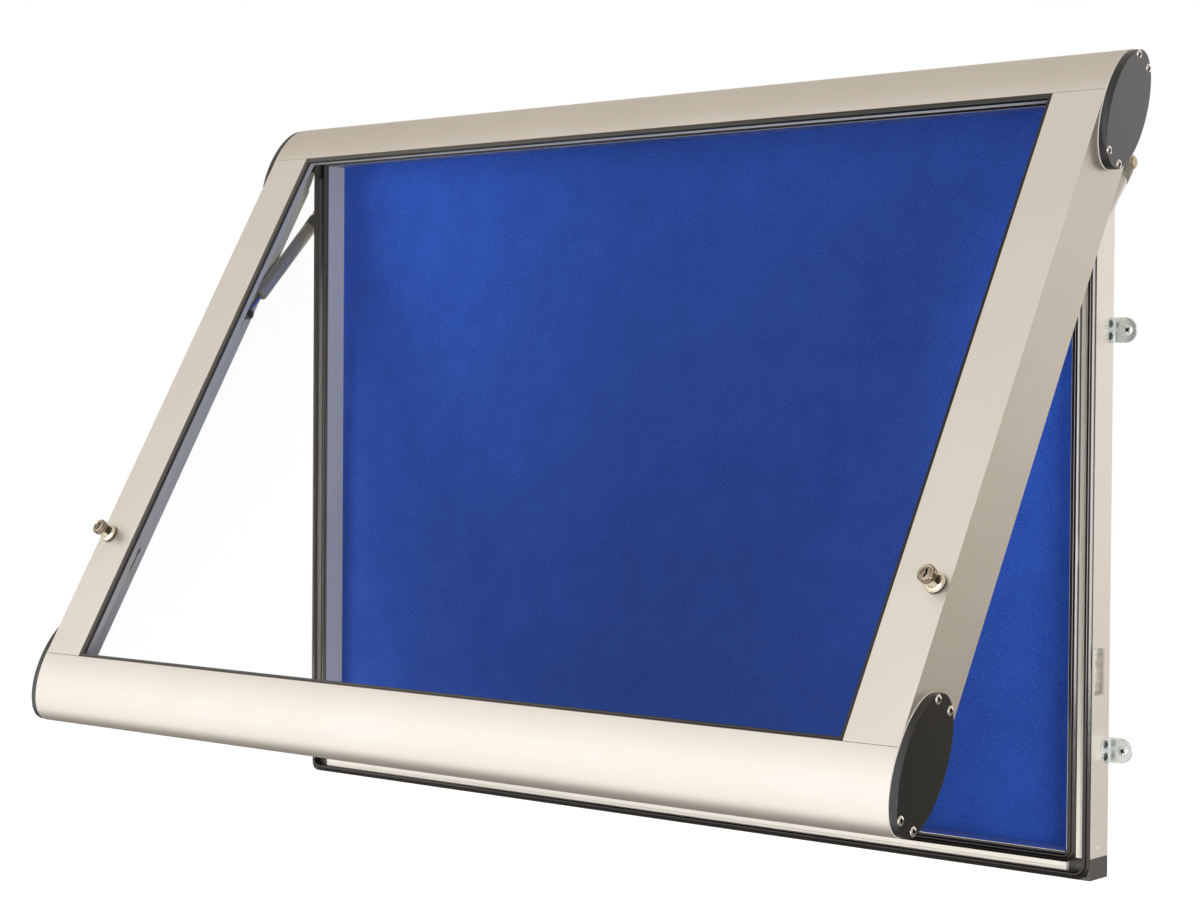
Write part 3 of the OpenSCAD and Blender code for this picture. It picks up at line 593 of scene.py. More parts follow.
def grown(name, mesh, tree, values):
    # runs a tree on a mesh and keeps the plain result
    piece = link(name, mesh)
    modifier = piece.modifiers.new(tree.name, "NODES")
    modifier.node_group = tree
    for item in tree.interface.items_tree:
        if item.in_out == "INPUT" and item.name in values:
            modifier[item.identifier] = values[item.name]
    return baked(piece)


def outlineCurve(name, points):
    curve = bpy.data.curves.new(name, "CURVE")
    curve.dimensions = "3D"
    line = curve.splines.new("POLY")
    line.points.add(len(points) - 1)
    for target, (a, b) in zip(line.points, points):
        target.co = (a * mm, b * mm, 0, 1)
    line.use_cyclic_u = True
    return link(name, curve)


ringPath = {"cuts": 36, "cornerSteps": 10, "ripple": 22.0}      # the ripple's scale is per metre


def makeSweepTree(name, ring):
    # a profile carried along a straight line on X, or round a rectangle in the XZ plane
    sizes = ("Width", "Height", "Corner radius", "Waviness") if ring else ("Length",)
    tree, given, output = newTree(name, {**dict.fromkeys(sizes, "Float"), "Profile": "Object",
                                         "Material": "Material"})
    if ring:
        path = nodeOf(tree, "GeometryNodeCurvePrimitiveQuadrilateral",
                      {"Width": given["Width"], "Height": given["Height"]})
        parts = nodeOf(tree, "GeometryNodeSubdivideCurve", {"Curve": path, "Cuts": ringPath["cuts"]})
        bend = nodeOf(tree, "GeometryNodeFilletCurve", {
            "Curve": parts, "Count": ringPath["cornerSteps"], "Radius": given["Corner radius"]}, mode="POLY")
        ripple = nodeOf(tree, "ShaderNodeTexNoise", {"Scale": ringPath["ripple"], "Detail": 1.0})
        centred = nodeOf(tree, "ShaderNodeVectorMath", {0: ripple.outputs["Color"], 1: (0.5, 0.5, 0.5)},
                         operation="SUBTRACT")
        shift = nodeOf(tree, "ShaderNodeVectorMath", {0: centred, "Scale": given["Waviness"]},
                       operation="SCALE")
        route = nodeOf(tree, "GeometryNodeSetPosition", {"Geometry": bend, "Offset": shift})
    else:
        halves = (product(tree, given["Length"], share) for share in (-0.5, 0.5))
        start, end = (nodeOf(tree, "ShaderNodeCombineXYZ", {"X": half}) for half in halves)
        route = nodeOf(tree, "GeometryNodeCurvePrimitiveLine", {"Start": start, "End": end})
    upright = nodeOf(tree, "GeometryNodeSetCurveNormal", {"Curve": route}, mode="Z_UP")
    profile = nodeOf(tree, "GeometryNodeObjectInfo", {"Object": given["Profile"]}).outputs["Geometry"]
    sweep = nodeOf(tree, "GeometryNodeCurveToMesh", {"Curve": upright, "Profile Curve": profile,
                                                     "Fill Caps": not ring})
    tilt = math.pi / 2 if ring else 0
    turn = nodeOf(tree, "GeometryNodeTransform", {"Geometry": sweep, "Rotation": (tilt, 0, 0)})
    dressed = nodeOf(tree, "GeometryNodeSetMaterial", {"Geometry": turn, "Material": given["Material"]})
    fill(tree, output, {0: dressed})
    return tree


def makeFastenerTree():
    # one head on each point, turned to the point's own direction and spun at random
    tree, given, output = newTree("fasteners", {"Head": "Object", "Head radius": "Float", "Seed": "Int",
                                                "Material": "Material", "Recess material": "Material"})
    head = nodeOf(tree, "GeometryNodeObjectInfo", {"As Instance": True, "Object": given["Head"]})
    facing, sunk = (nodeOf(tree, "GeometryNodeInputNamedAttribute", {"Name": label}, data_type=kind)
                    .outputs["Attribute"] for label, kind in (("facing", "FLOAT_VECTOR"),
                                                              ("recess", "BOOLEAN")))
    align = nodeOf(tree, "FunctionNodeAlignRotationToVector", {"Vector": facing}, axis="Z")
    spin = nodeOf(tree, "FunctionNodeRandomValue", {"Seed": given["Seed"]}, data_type="FLOAT")
    spinLow, spinHigh = [socket for socket in spin.inputs if socket.type == "VALUE"][:2]
    spinLow.default_value, spinHigh.default_value = 0.0, math.tau
    angle = next(socket for socket in spin.outputs if socket.type == "VALUE")
    turn = nodeOf(tree, "FunctionNodeAxisAngleToRotation", {"Axis": (0, 0, 1), "Angle": angle})
    rotate = nodeOf(tree, "FunctionNodeRotateRotation", {0: align, 1: turn}, rotation_space="LOCAL")
    scatter = nodeOf(tree, "GeometryNodeInstanceOnPoints", {
        "Points": given["Geometry"], "Instance": head.outputs["Geometry"], "Rotation": rotate,
        "Scale": given["Head radius"]})
    whole = nodeOf(tree, "GeometryNodeRealizeInstances", {0: scatter})
    dressed = nodeOf(tree, "GeometryNodeSetMaterial", {"Geometry": whole, "Material": given["Material"]})
    # the recess faces take the dark material: painted shade
    inside = nodeOf(tree, "GeometryNodeSetMaterial", {"Geometry": dressed, "Selection": sunk,
                                                      "Material": given["Recess material"]})
    fill(tree, output, {0: inside})
    return tree


barTree = makeSweepTree("barSweep", ring=False)
ringTree = makeSweepTree("ringSweep", ring=True)
fastenerTree = makeFastenerTree()


def swept(name, tree, profile, values, finish, pose=stay, angle=35):
    guide = outlineCurve(name + "Profile", profile)
    given = {key: value * mm for key, value in values.items()}
    given.update({"Profile": guide, "Material": materials[finish]})
    piece = grown(name, bpy.data.meshes.new(name), tree, given)
    bpy.data.objects.remove(guide)
    shape = bmesh.new()
    shape.from_mesh(piece.data)
    bmesh.ops.remove_doubles(shape, verts=shape.verts, dist=1e-7)
    bmesh.ops.recalc_face_normals(shape, faces=shape.faces)
    shape.to_mesh(piece.data)
    shape.free()
    piece.data.transform(inMetres(pose))
    shade(piece.data, angle)
    return piece


# door frame
door = {
    "depth": 62.0, "rise": 61.0, "wall": 2.0,          # rounded rails
    "rebate": 7.5, "rebateWall": 2.0, "rebateDepth": 15.6,
    "ribStart": 30.1, "ribWidth": 3.0, "topRibDepth": 20.45, "bottomRibDepth": 24.1,
    "rearEnd": 50.4, "channelRadius": 4.0, "channelAcross": 10.3, "channelHeight": 51.5,
    "ovalSteps": 72, "channelSteps": 10,
    "seam": 0.25, "seamGap": 0.4,                      # eased edge and open joint of rail and stile
    "stileEase": 0.3, "beadEase": 0.25,
    "paleFrom": 3.0, "paleReach": 20.0,                # inside, the metal is paler from here back
}
doorWidth = boxOf("door_top_rail")[1].x - boxOf("door_top_rail")[0].x
stileLow, stileHigh = shutBox("door_left_stile")
doorFront, openHalf = stileLow.y, -stileHigh.x
openBottom, openTop = stileLow.z, stileHigh.z


def railOutline(ribDepth):
    # (depth behind the front face, distance from the opening)
    middle, wall, radius = door["depth"] / 2, door["wall"], door["channelRadius"]

    def around(inset, start, end):
        a, b, steps = middle - inset, door["rise"] - inset, door["ovalSteps"]
        angles = (math.radians(start + (end - start) * i / steps) for i in range(steps + 1))
        return [(middle - a * math.cos(t), b * math.sin(t)) for t in angles]

    def rearAngle(inset):
        return 180 - math.degrees(math.asin(door["rearEnd"] / (door["rise"] - inset)))

    def wallDepth(height):
        return middle - (middle - wall) * math.sqrt(1 - (height / (door["rise"] - wall)) ** 2)

    outer, inner = around(0, 0, rearAngle(0)), around(wall, rearAngle(wall), 0)
    for side in (1, -1):                               # screw channels hang under the wall
        centre = Vector((middle + side * door["channelAcross"], door["channelHeight"]))
        inside = [i for i, point in enumerate(inner) if (Vector(point) - centre).length < radius]
        first, last = (math.atan2(inner[i][1] - centre.y, inner[i][0] - centre.x)
                       for i in (inside[0], inside[-1]))
        sweep = (last - first) % math.tau - math.tau
        angles = [first + sweep * k / door["channelSteps"] for k in range(door["channelSteps"] + 1)]
        bump = [tuple(centre + radius * Vector((math.cos(t), math.sin(t)))) for t in angles]
        inner = inner[:inside[0]] + bump + inner[inside[-1] + 1:]
    for low, width, depth in ((door["ribStart"], door["ribWidth"], ribDepth),
                              (door["rebate"], door["rebateWall"], door["rebateDepth"])):
        high = low + width
        before = [p for p in inner if p[1] > high or p[0] > middle]
        after = [p for p in inner if p[1] < low and p[0] <= middle]
        inner = before + [(wallDepth(high), high), (depth, high), (depth, low), (wallDepth(low), low)] + after
    return outer + inner


def makeRail(name, node, edge, up, ribDepth):
    def facingOpening(centre, normal):
        return (normal.z * up < -square and centre.y > doorFront + door["paleFrom"]
                and abs(centre.z - edge) < door["paleReach"])

    outline = [(-(doorFront + depth), -(edge + up * height)) for depth, height in railOutline(ribDepth)]
    piece = swept(name, barTree, outline, {"Length": doorWidth}, "anodisedLevel")
    eased(piece, door["seam"], 40)
    piece.data.transform(inMetres(doorOpen))
    partlyIn(piece, "bead", facingOpening, doorOpen)
    settle(piece, None, node)


def openSeams(shape):
    # draws the stile's ends back a little, so that the joint with each rail reads as a dark line
    closed = doorOpen.inverted()
    for vert in shape.verts:
        place = closed @ vert.co
        for end, inward in ((openTop, -1), (openBottom, 1)):
            if abs(place.z - end) < 0.1:
                place.z += inward * door["seamGap"]
        vert.co = doorOpen @ place


def behindGlass(centre, normal):
    # the stile's ribs and walls inside the door, as seen through the glass
    return normal.x * centre.x < 0 and abs(normal.x) > square and centre.y > doorFront + door["paleFrom"]


makeRail("doorTopRail", "door_top_rail", openTop, 1, door["topRibDepth"])
makeRail("doorBottomRail", "door_bottom_rail", openBottom, -1, door["bottomRibDepth"])
for side in sides:
    piece = refined(f"doorStile.{side}", f"door_{side}_stile", "anodisedStile", door["stileEase"], openSeams)
    partlyIn(piece, "bead", behindGlass, doorOpen)
for place in ("top", "bottom", "left", "right"):
    refined(f"bead.{place}", f"bead_{place}", "bead", door["beadEase"])
print("door frame made")

# glass and gasket
glazing = {
    "glassFront": 4.6, "glassThickness": 4.0, "glassEdge": 7.0, "arris": 0.5,
    # distance out from the opening's edge, depth behind the door's front
    "gasket": [(-4.4, 4.6), (-4.35, 2.3), (-4.05, 1.4), (-3.5, 0.9), (-2.9, 0.8), (-2.3, 1.1), (-2.0, 1.45),
               (-1.7, 1.1), (-0.6, 0.8), (-0.05, 0.9), (0.0, 1.9), (0.0, 2.4), (7.0, 2.4), (7.0, 4.6)],
}


def makeGasket():
    # its outline is carried round the opening and mitred at the corners
    def placed(sx, sz, out, depth):
        return sx * (openHalf + out), doorFront + depth, openTop + out if sz > 0 else openBottom - out

    shape = bmesh.new()
    rings = [[shape.verts.new(placed(sx, sz, out, depth)) for out, depth in glazing["gasket"]]
             for sx, sz in ((-1, -1), (1, -1), (1, 1), (-1, 1))]
    bridged(shape, rings, closed=True)
    settle(solid("glazingGasket", shape, doorOpen, angle=50), "gasketRubber", "glazing_gasket")


def makeGlassPanel():
    out, front, t = glazing["glassEdge"], glazing["glassFront"], glazing["glassThickness"]
    outline = softened([(-openHalf - out, front), (openHalf + out, front), (openHalf + out, front + t),
                        (-openHalf - out, front + t)], glazing["arris"], steps=1)
    shape = prism(outline, lambda x, depth, z: (x, doorFront + depth, z), openBottom - out, openTop + out)
    settle(solid("glazingPanel", shape, doorOpen, angle=20), "glass", "glazing_panel")


makeGasket()
makeGlassPanel()
print("glazing made")

# end caps
cap = {
    "thickness": 8.0, "rim": 0.6, "faceBand": 0.5, "inset": 0.5, "steps": 120,
    "bossRadius": 8.5, "bossStart": 503.0, "bossSunk": 0.2, "bossEase": 0.6, "bore": 4.05,
    # the pale line painted as the highlight where the cap meets the metal: distance past the metal, distance in
    # from the rail's outline
    "line": [(0.0, 0.05), (0.35, 0.05), (0.5, 0.25), (0.5, 0.7), (0.0, 0.7)],
}


def ovals(shape, levels, side, edge):
    # levels are (distance past the rail's end, distance in from its outline)
    middle, rings = door["depth"] / 2, []
    for along, inset in levels:
        angles = (math.tau * i / cap["steps"] for i in range(cap["steps"]))
        rings.append([shape.verts.new((side * (doorWidth / 2 + along),
                                       doorFront + middle + (middle - inset) * math.cos(a),
                                       edge + (door["rise"] - inset) * math.sin(a))) for a in angles])
    return rings


def makeEndCap(name, node, side, edge, upper):
    shape = bmesh.new()
    start, t, rim, inset = doorWidth / 2, cap["thickness"], cap["rim"], cap["inset"]
    quarter = [math.radians(a) for a in (0, 30, 60, 90)]
    rounded = [(t - rim + rim * math.sin(a), inset + rim * (1 - math.cos(a))) for a in quarter]
    rings = ovals(shape, [(0.0, inset), *rounded, (t, inset + rim + cap["faceBand"])], side, edge)
    bridged(shape, rings)
    shape.faces.new(rings[0])
    shape.faces.new(rings[-1][::-1])
    if upper:
        axis = Matrix.Translation((0, pivot.y, pivot.z)) @ Matrix.Rotation(side * math.pi / 2, 4, "Y")
        bore, radius, low, high = cap["bore"], cap["bossRadius"], cap["bossStart"], start + cap["bossSunk"]
        ease = cap["bossEase"]
        lathe(shape, [(bore, low + ease), (bore + ease, low), (radius - ease, low), (radius, low + ease),
                      (radius, high), (bore, high)], axis, closed=True)
    piece = settle(solid(name, shape, doorOpen, angle=38), "darkPlastic", node)
    if upper:
        partlyIn(piece, "bead", lambda centre, normal: side * normal.x < -0.9 and
                 side * centre.x > start - 0.5, doorOpen)
    # a pale ring round the cap: a painted highlight
    shape = bmesh.new()
    bridged(shape, ovals(shape, cap["line"], side, edge), closed=True)
    settle(solid(name + ".line", shape, doorOpen, angle=38), "sealant", (), "door")


for side, sign in sides.items():
    makeEndCap(f"endCapTop.{side}", f"end_cap_top_{side}", sign, openTop, True)
    makeEndCap(f"endCapBottom.{side}", f"end_cap_bottom_{side}", sign, openBottom, False)
print("end caps made")

# seals round the case
caseHalf = round(boxOf("case_right_profile")[1].x, 2)
caseFront, caseBottom = (round(value, 2) for value in boxOf("case_bottom_profile")[0].yz)
caseTop = round(boxOf("case_top_profile")[1].z, 2)
seal = {"grooveDepth": 3.5, "cornerRadius": 12.0, "waviness": 0.16}


def lobe(inward, height, radius):
    return [(inward + radius * math.cos(math.radians(a)), height + radius * math.sin(math.radians(a)))
            for a in range(200, -21, -20)]


# outlines are (distance in from the outside of the case, height in front of it)
outerSeal = {"node": "outer_seal", "inset": 3.2, "grooveWidth": 4.2,
             "outline": [(0.15, 0.0), (0.45, 0.35), (3.0, 1.8), (3.15, 0.6), *lobe(5.3, 2.0, 2.05),
                         (7.35, 0.0)]}
innerSeal = {"node": "inner_seal", "inset": 14.4, "grooveWidth": 6.8,
             "outline": [(14.45, 0.0), (15.3, 0.9), (17.2, 2.0), (17.45, 0.6), *lobe(20.0, 1.5, 1.5),
                         (21.8, 0.5), (23.35, 0.45), (23.55, 0.0)]}


def makeSeal(name, look):
    # a strip in its groove and the lobes on top of it
    inset, width, back = look["inset"], look["grooveWidth"], caseFront + seal["grooveDepth"]
    points = [(0.0, back), (0.0, caseFront)]
    points += [(inset - inward, caseFront - height) for inward, height in look["outline"]]
    points += [(-width, caseFront), (-width, back)]
    sizes = {"Width": 2 * (caseHalf - inset), "Height": caseTop - caseBottom - 2 * inset,
             "Corner radius": seal["cornerRadius"], "Waviness": seal["waviness"]}
    centre = Matrix.Translation((0, 0, middleOf("felt_cover").z))
    piece = swept(name, ringTree, list(dict.fromkeys(points)), sizes, "rubber", centre, 40)
    settle(piece, None, look["node"])


makeSeal("outerSeal", outerSeal)
makeSeal("innerSeal", innerSeal)
print("seals made")

# case, blocks and board
board = {"margin": 3.0, "front": -8.0, "webDepth": 1.5, "footRadius": 9.0, "footSteps": 8,
         "memberEase": 0.25, "blockEase": 0.5, "sheetEase": 0.2}
felt = {"columns": 160, "rows": 114, "swell": 0.12, "longWave": (61, 47), "shortWave": (23, 31)}
feltLow, feltHigh = boxOf("felt_cover")


def facingBoard(centre, normal):
    reach, out = (feltHigh.z - feltLow.z) / 2 + board["margin"], centre.z - middleOf("felt_cover").z
    return abs(normal.z) > square and abs(out) < reach and centre.y < board["front"]


def besideBoard(centre, normal):
    return normal.x * centre.x < 0 and abs(normal.x) > square and abs(centre.x) < feltHigh.x + board["margin"]


def frontWeb(centre, normal):
    return normal.y < -0.9 and centre.y < caseFront + board["webDepth"]


def roundedFoot(shape):
    # the left block's outer lower edge
    low = min(vert.co.z for vert in shape.verts)
    edges = [edge for edge in shape.edges
             if all(abs(vert.co.x + caseHalf) < 0.1 and abs(vert.co.z - low) < 0.1 for vert in edge.verts)]
    bmesh.ops.bevel(shape, geom=edges, offset=board["footRadius"], segments=board["footSteps"],
                    affect="EDGES", profile=0.5)


def makeFeltCover():
    low, high = feltLow, feltHigh
    columns, rows = felt["columns"], felt["rows"]
    (longX, longZ), (shortX, shortZ) = felt["longWave"], felt["shortWave"]
    shape = bmesh.new()
    front = []
    for j in range(rows + 1):
        for i in range(columns + 1):
            x = low.x + (high.x - low.x) * i / columns
            z = low.z + (high.z - low.z) * j / rows
            wave = math.sin(x / longX) * math.cos(z / longZ) + math.sin(x / shortX + z / shortZ)
            front.append(shape.verts.new((x, low.y + felt["swell"] * (0.5 - 0.25 * wave), z)))
    back = [shape.verts.new(p) for p in ((low.x, high.y, low.z), (high.x, high.y, low.z),
                                         (high.x, high.y, high.z), (low.x, high.y, high.z))]
    for j in range(rows):
        for i in range(columns):
            k = j * (columns + 1) + i
            shape.faces.new((front[k], front[k + 1], front[k + columns + 2], front[k + columns + 1]))
    shape.faces.new(back[::-1])
    edges = [front[:columns + 1], front[columns::columns + 1], front[-columns - 1:][::-1],
             front[::columns + 1][::-1]]
    for k, edge in enumerate(edges):
        shape.faces.new([back[k], *edge, back[(k + 1) % 4]])
    piece = settle(solid("feltCover", shape, angle=30), "felt", "felt_cover")


for place in ("top", "bottom"):
    piece = refined(f"caseMember.{place}", f"case_{place}_profile", "anodisedCase", board["memberEase"])
    # faces towards the board take a darker, more mirroring finish: painted shade, with real reflection of the felt
    partlyIn(piece, "innerWall", facingBoard)
for side in sides:
    piece = refined(f"caseMember.{side}", f"case_{side}_profile", "anodisedCase", board["memberEase"])
    partlyIn(piece, "innerSide", besideBoard)
    if side == "left":
        partlyIn(piece, "shadedWeb", frontWeb)
    refined(f"cornerBlock.{side}", f"corner_block_{side}", "blockPlastic", board["blockEase"],
            roundedFoot if side == "left" else None)
    refined(f"hingeBlock.{side}", f"hinge_block_{side}", "darkPlastic", board["blockEase"])
refined("fibreCore", "pinboard_core", "fibreCore", board["sheetEase"])
refined("backSheet", "back_sheet", "galvanised", board["sheetEase"])
makeFeltCover()
print("case and board made")

# wall brackets, hinge pins, studs, plates, nuts and cams
for level in ("lower", "upper"):
    for side in sides:
        refined(f"wallBracket.{level}.{side}", f"wall_bracket_{level}_{side}", "zinc", 0.4)
pairs = [                     # piece, node, finish, eased edge
    ("hingePin", "hinge_pin", "nickel", 0.4), ("strutStud", "strut_stud", "brass", 0.3),
    ("strutPlate", "strut_bracket", "zinc", 0.3), ("lockNut", "lock_nut", "zinc", 0.4),
    ("lockCam", "lock_cam", "camSteel", 0.3),
]
for side in sides:
    for name, node, finish, edge in pairs:
        refined(f"{name}.{side}", f"{node}_{side}", finish, edge)

# gas struts; distances run from the upper pivot towards the lower one
strut = {
    "eyeRadius": 6.5, "eyeWidth": 11.8, "bore": 4.05, "boreEase": 0.3, "ease": 0.8, "easeMiddle": (0.2, 0.25),
    "neckRadius": 5.2, "neckStart": 5.4, "neckOverlap": 0.4,
    "collarStart": 8.0, "collarEnd": 22.0, "collarRadius": 8.0,
    "groove": (3.0, 2.6, 2.0, 1.6), "grooveDepth": 0.7,        # back from the collar's end
    "tubeRadius": 7.5, "tubeEnd": 134.0, "tubeTaper": (0.9, 1.5), "ringBore": 3.4, "ringLength": 0.6,
    "rodRadius": 3.0, "rodHidden": 30.0, "socketStart": 8.0, "socketTaper": (0.6, 1.4),
}


def strutFrame(side):
    top, low = middleOf(f"strut_stud_{side}"), boxOf(f"rod_socket_{side}")[0]
    x = middleOf(f"strut_tube_{side}").x
    upper = Vector((x, top.y, top.z))
    down = Vector((x, low.y + strut["eyeRadius"], low.z + strut["eyeRadius"])) - upper
    length = down.length
    down.normalize()
    across = Vector((1, 0, 0))
    pose = Matrix((across, down.cross(across), down)).transposed().to_4x4()
    pose.translation = upper
    return pose, length


def drilledEye(shape, pose, at):
    # its bore runs across the board
    r, half, bore = strut["eyeRadius"], strut["eyeWidth"] / 2, strut["bore"]
    (inward, down), ease, boreEase = strut["easeMiddle"], strut["ease"], strut["boreEase"]
    axis = pose @ Matrix.Translation((0, 0, at)) @ Matrix.Rotation(math.pi / 2, 4, "Y")
    edge = [(bore, boreEase), (bore + boreEase, 0), (r - ease, 0), (r - inward, down), (r, ease)]
    lathe(shape, [(radius, depth - half) for radius, depth in edge]
          + [(radius, half - depth) for radius, depth in edge[::-1]], axis, closed=True)


def turned(name, pose, profile, ease, finish, nodes, body=None, eye=None, closed=False, steps=48):
    shape = bmesh.new()
    if eye is not None:
        drilledEye(shape, pose, eye)
    lathe(shape, softened(profile, ease, closed) if ease else profile, pose, steps, closed)
    settle(solid(name, shape), finish, nodes, body)


def makeStrut(side):
    pose, length = strutFrame(side)
    neck, near, r, far = strut["neckRadius"], strut["neckStart"], strut["tubeRadius"], strut["tubeEnd"]
    start, end, wide = strut["collarStart"], strut["collarEnd"], strut["collarRadius"]
    top = start + strut["neckOverlap"]
    turned(f"tubeEye.{side}", pose, [(0, near), (neck, near), (neck, top), (0, top)], 0.5, "brass",
           f"tube_socket_{side}", eye=0)
    low, deep = wide - strut["grooveDepth"], [end - back for back in strut["groove"]]
    turned(f"tubeCollar.{side}", pose,
           [(0, start), (wide, start), (wide, deep[0]), (low, deep[1]), (low, deep[2]), (wide, deep[3]),
            (wide, end), (0, end)], 0.5, "strutFitting", (), f"tube_{side}")
    inward, back = strut["tubeTaper"]
    turned(f"strutTube.{side}", pose, [(0, end), (r, end), (r, far - back), (r - inward, far), (0, far)], 0.6,
           "strutTube", f"strut_tube_{side}")
    bore, tip = strut["ringBore"], far + strut["ringLength"]
    turned(f"wiperRing.{side}", pose, [(bore, far), (neck, far), (neck, tip), (bore, tip)], 0.2, "brass", (),
           f"tube_{side}", closed=True)
    rod, rodStart, rodEnd = strut["rodRadius"], far - strut["rodHidden"], length - strut["eyeRadius"]
    turned(f"strutRod.{side}", pose, [(0, rodStart), (rod, rodStart), (rod, rodEnd), (0, rodEnd)], 0,
           "polishedRod", f"strut_rod_{side}", steps=32)
    start, (inward, along) = length - strut["socketStart"], strut["socketTaper"]
    turned(f"rodSocket.{side}", pose, [(0, start), (neck - inward, start), (neck, start + along),
                                       (neck, length - near), (0, length - near)], 0.4,
           "strutFitting", f"rod_socket_{side}", eye=length)


for side in sides:
    makeStrut(side)
print("struts made")

# locks; heights are above the door's front
lock = {
    "proud": 18.0, "faceRadius": 8.0, "ease": 0.7, "faceSunk": 0.3, "faceRim": (6.5, 6.75), "sunkRim": 0.5,
    "faceBevel": 0.3,
    "groove": (2.4, 2.7, 3.2, 3.5), "grooveDepth": 0.45,       # below the face
    "headLength": 5.2, "headEase": 0.4, "neckRadius": 6.6, "neckShade": 1.3,
    "rose": [(7.6, 5.2), (8.5, 4.4), (9.1, 3.3), (9.5, 1.9), (9.5, 0.5), (9.1, 0.0)],    # radius, height
    "roseShade": (0.1, 1.8, 9.1), "litFrom": (-0.52, -0.85), "margin": 0.02,
    "barrelEnd": 38.0, "barrelRadius": 7.9, "plugRadius": 5.6, "gap": 0.08,
    "plugEase": (0.9, 0.7), "plugSunk": (0.25, 0.3), "tail": 3.0, "tailEnd": 46.5, "camStart": 42.5,
    "tailPale": 20.0, "keyWidth": 2.0, "keyDepth": 5.0,
    "keyway": [(0.9, 3.7), (0.1, 2.9), (-0.1, 1.8), (0.55, 0.7), (0.55, -0.5), (-0.3, -1.5), (-0.7, -2.6),
               (-1.0, -3.8)],
}


def lockFrame(side):
    # Z points out of the closed door along the lock's axis
    nut = doorOpen.inverted() @ middleOf(f"lock_nut_{side}")
    return Matrix.Translation((nut.x, doorFront, nut.z)) @ Matrix.Rotation(math.pi / 2, 4, "X")


def keyCutter(pose):
    # an S-shaped slit, drawn as a bent strip; the faces it cuts are painted black, painted shade in the slit
    half, proud, line = lock["keyWidth"] / 2, lock["proud"], lock["keyway"]
    left, right = [], []
    for i, point in enumerate(line):
        ahead = Vector(line[min(i + 1, len(line) - 1)]) - Vector(line[max(i - 1, 0)])
        across = Vector((-ahead.y, ahead.x)).normalized() * half
        left.append(tuple(Vector(point) + across))
        right.append(tuple(Vector(point) - across))
    shape = prism(left + right[::-1], lambda a, b, along: pose @ Vector((a, b, along)),
                  proud - lock["keyDepth"], proud + 2)
    cutter = solid("keyway", shape, doorOpen)
    coat(cutter, "keywayBlack")
    return cutter


def makeLock(side):
    pose = lockFrame(side)
    proud, face, neck, plug = lock["proud"], lock["faceRadius"], lock["neckRadius"], lock["plugRadius"]
    bore, head, ease, back = plug + lock["gap"], proud - lock["headLength"], lock["ease"], lock["headEase"]
    sunk, (rimIn, rimOut), rose = proud - lock["faceSunk"], lock["faceRim"], lock["rose"]
    groove, margin = [proud - depth for depth in lock["groove"]], lock["margin"]
    neckTop = head - lock["neckShade"]
    low, barrel, end = face - lock["grooveDepth"], lock["barrelRadius"], -lock["barrelEnd"]
    outline = [(bore, proud - lock["sunkRim"]), (bore + lock["faceBevel"], sunk), (rimIn, sunk),
               (rimOut, proud), (face - ease, proud), (face, proud - ease), (face, groove[0]),
               (low, groove[1]), (low, groove[2]), (face, groove[3]), (face, head + back),
               (face - back, head), (neck, head),
               (neck, neckTop), (neck, rose[0][1]), *rose, (barrel, 0.0), (barrel, end), (bore, end)]
    shape = lathe(bmesh.new(), outline, pose, 64, closed=True)
    piece = solid(f"lockBarrel.{side}", shape, doorOpen, angle=28)
    coat(piece, "nickel")

    def heightAndRadius(centre):
        return doorFront - centre.y, (centre - pose.translation).xz.length

    def shaded(centre, normal):
        # the eased edges, the groove round the head, its underside and the edge of the rose
        height, out = heightAndRadius(centre)
        roseLow, roseHigh, roseIn = lock["roseShade"]
        return (height > proud - ease + margin and out > face - ease + margin
                or groove[3] + 0.1 < height < groove[0] - 0.1
                or neckTop + margin < height < head + back - 0.05 and out < face
                or roseLow < height < roseHigh and out > roseIn)

    # the rose takes a paler, rougher nickel; on the neck's lit side the same paler copy is a painted highlight
    def roseAndLitSide(centre, normal):
        height, out = heightAndRadius(centre)
        return 0 < height < neckTop + margin and out > neck - 0.3

    # the neck's side turned from the light: painted shade
    def turnedFromLight(centre, normal):
        return (rose[0][1] < doorFront - centre.y < head
                and normal.x * lock["litFrom"][0] + normal.z * lock["litFrom"][1] < 0)

    partlyIn(piece, "roseNickel", roseAndLitSide, doorOpen)
    partlyIn(piece, "plugNickel", lambda centre, normal: doorFront - centre.y > sunk - 0.05, doorOpen)
    partlyIn(piece, "lockShade", shaded, doorOpen)
    partlyIn(piece, "lockShade", turnedFromLight, doorOpen)
    settle(piece, None, f"lock_barrel_{side}")
    (inward, edge), (middleSunk, rimSunk) = lock["plugEase"], lock["plugSunk"]
    cam, tail, tailEnd = -lock["camStart"], lock["tail"], -lock["tailEnd"]
    outline = [(0, proud - middleSunk), (plug - inward, proud - rimSunk), (plug, proud - edge), (plug, cam),
               (tail, cam), (tail, tailEnd), (0, tailEnd)]
    piece = solid(f"lockPlug.{side}", lathe(bmesh.new(), outline, pose, 48), doorOpen, angle=28)
    coat(piece, "plugNickel", "keywayBlack")
    cutBy(piece, keyCutter(pose))
    shade(piece.data, 28)
    inside = doorFront + lock["tailPale"]
    partlyIn(piece, "camSteel", lambda centre, normal: centre.y > inside, doorOpen)
    settle(piece, None, f"lock_plug_{side}")


# a rounded cup stands behind each latch slot
slotLiner = {"wallInside": 498.0, "reach": 12.2, "half": 9.2, "middle": -18.5, "height": 20.8, "wall": 1.0,
             "sideWall": 0.3, "steps": 20}


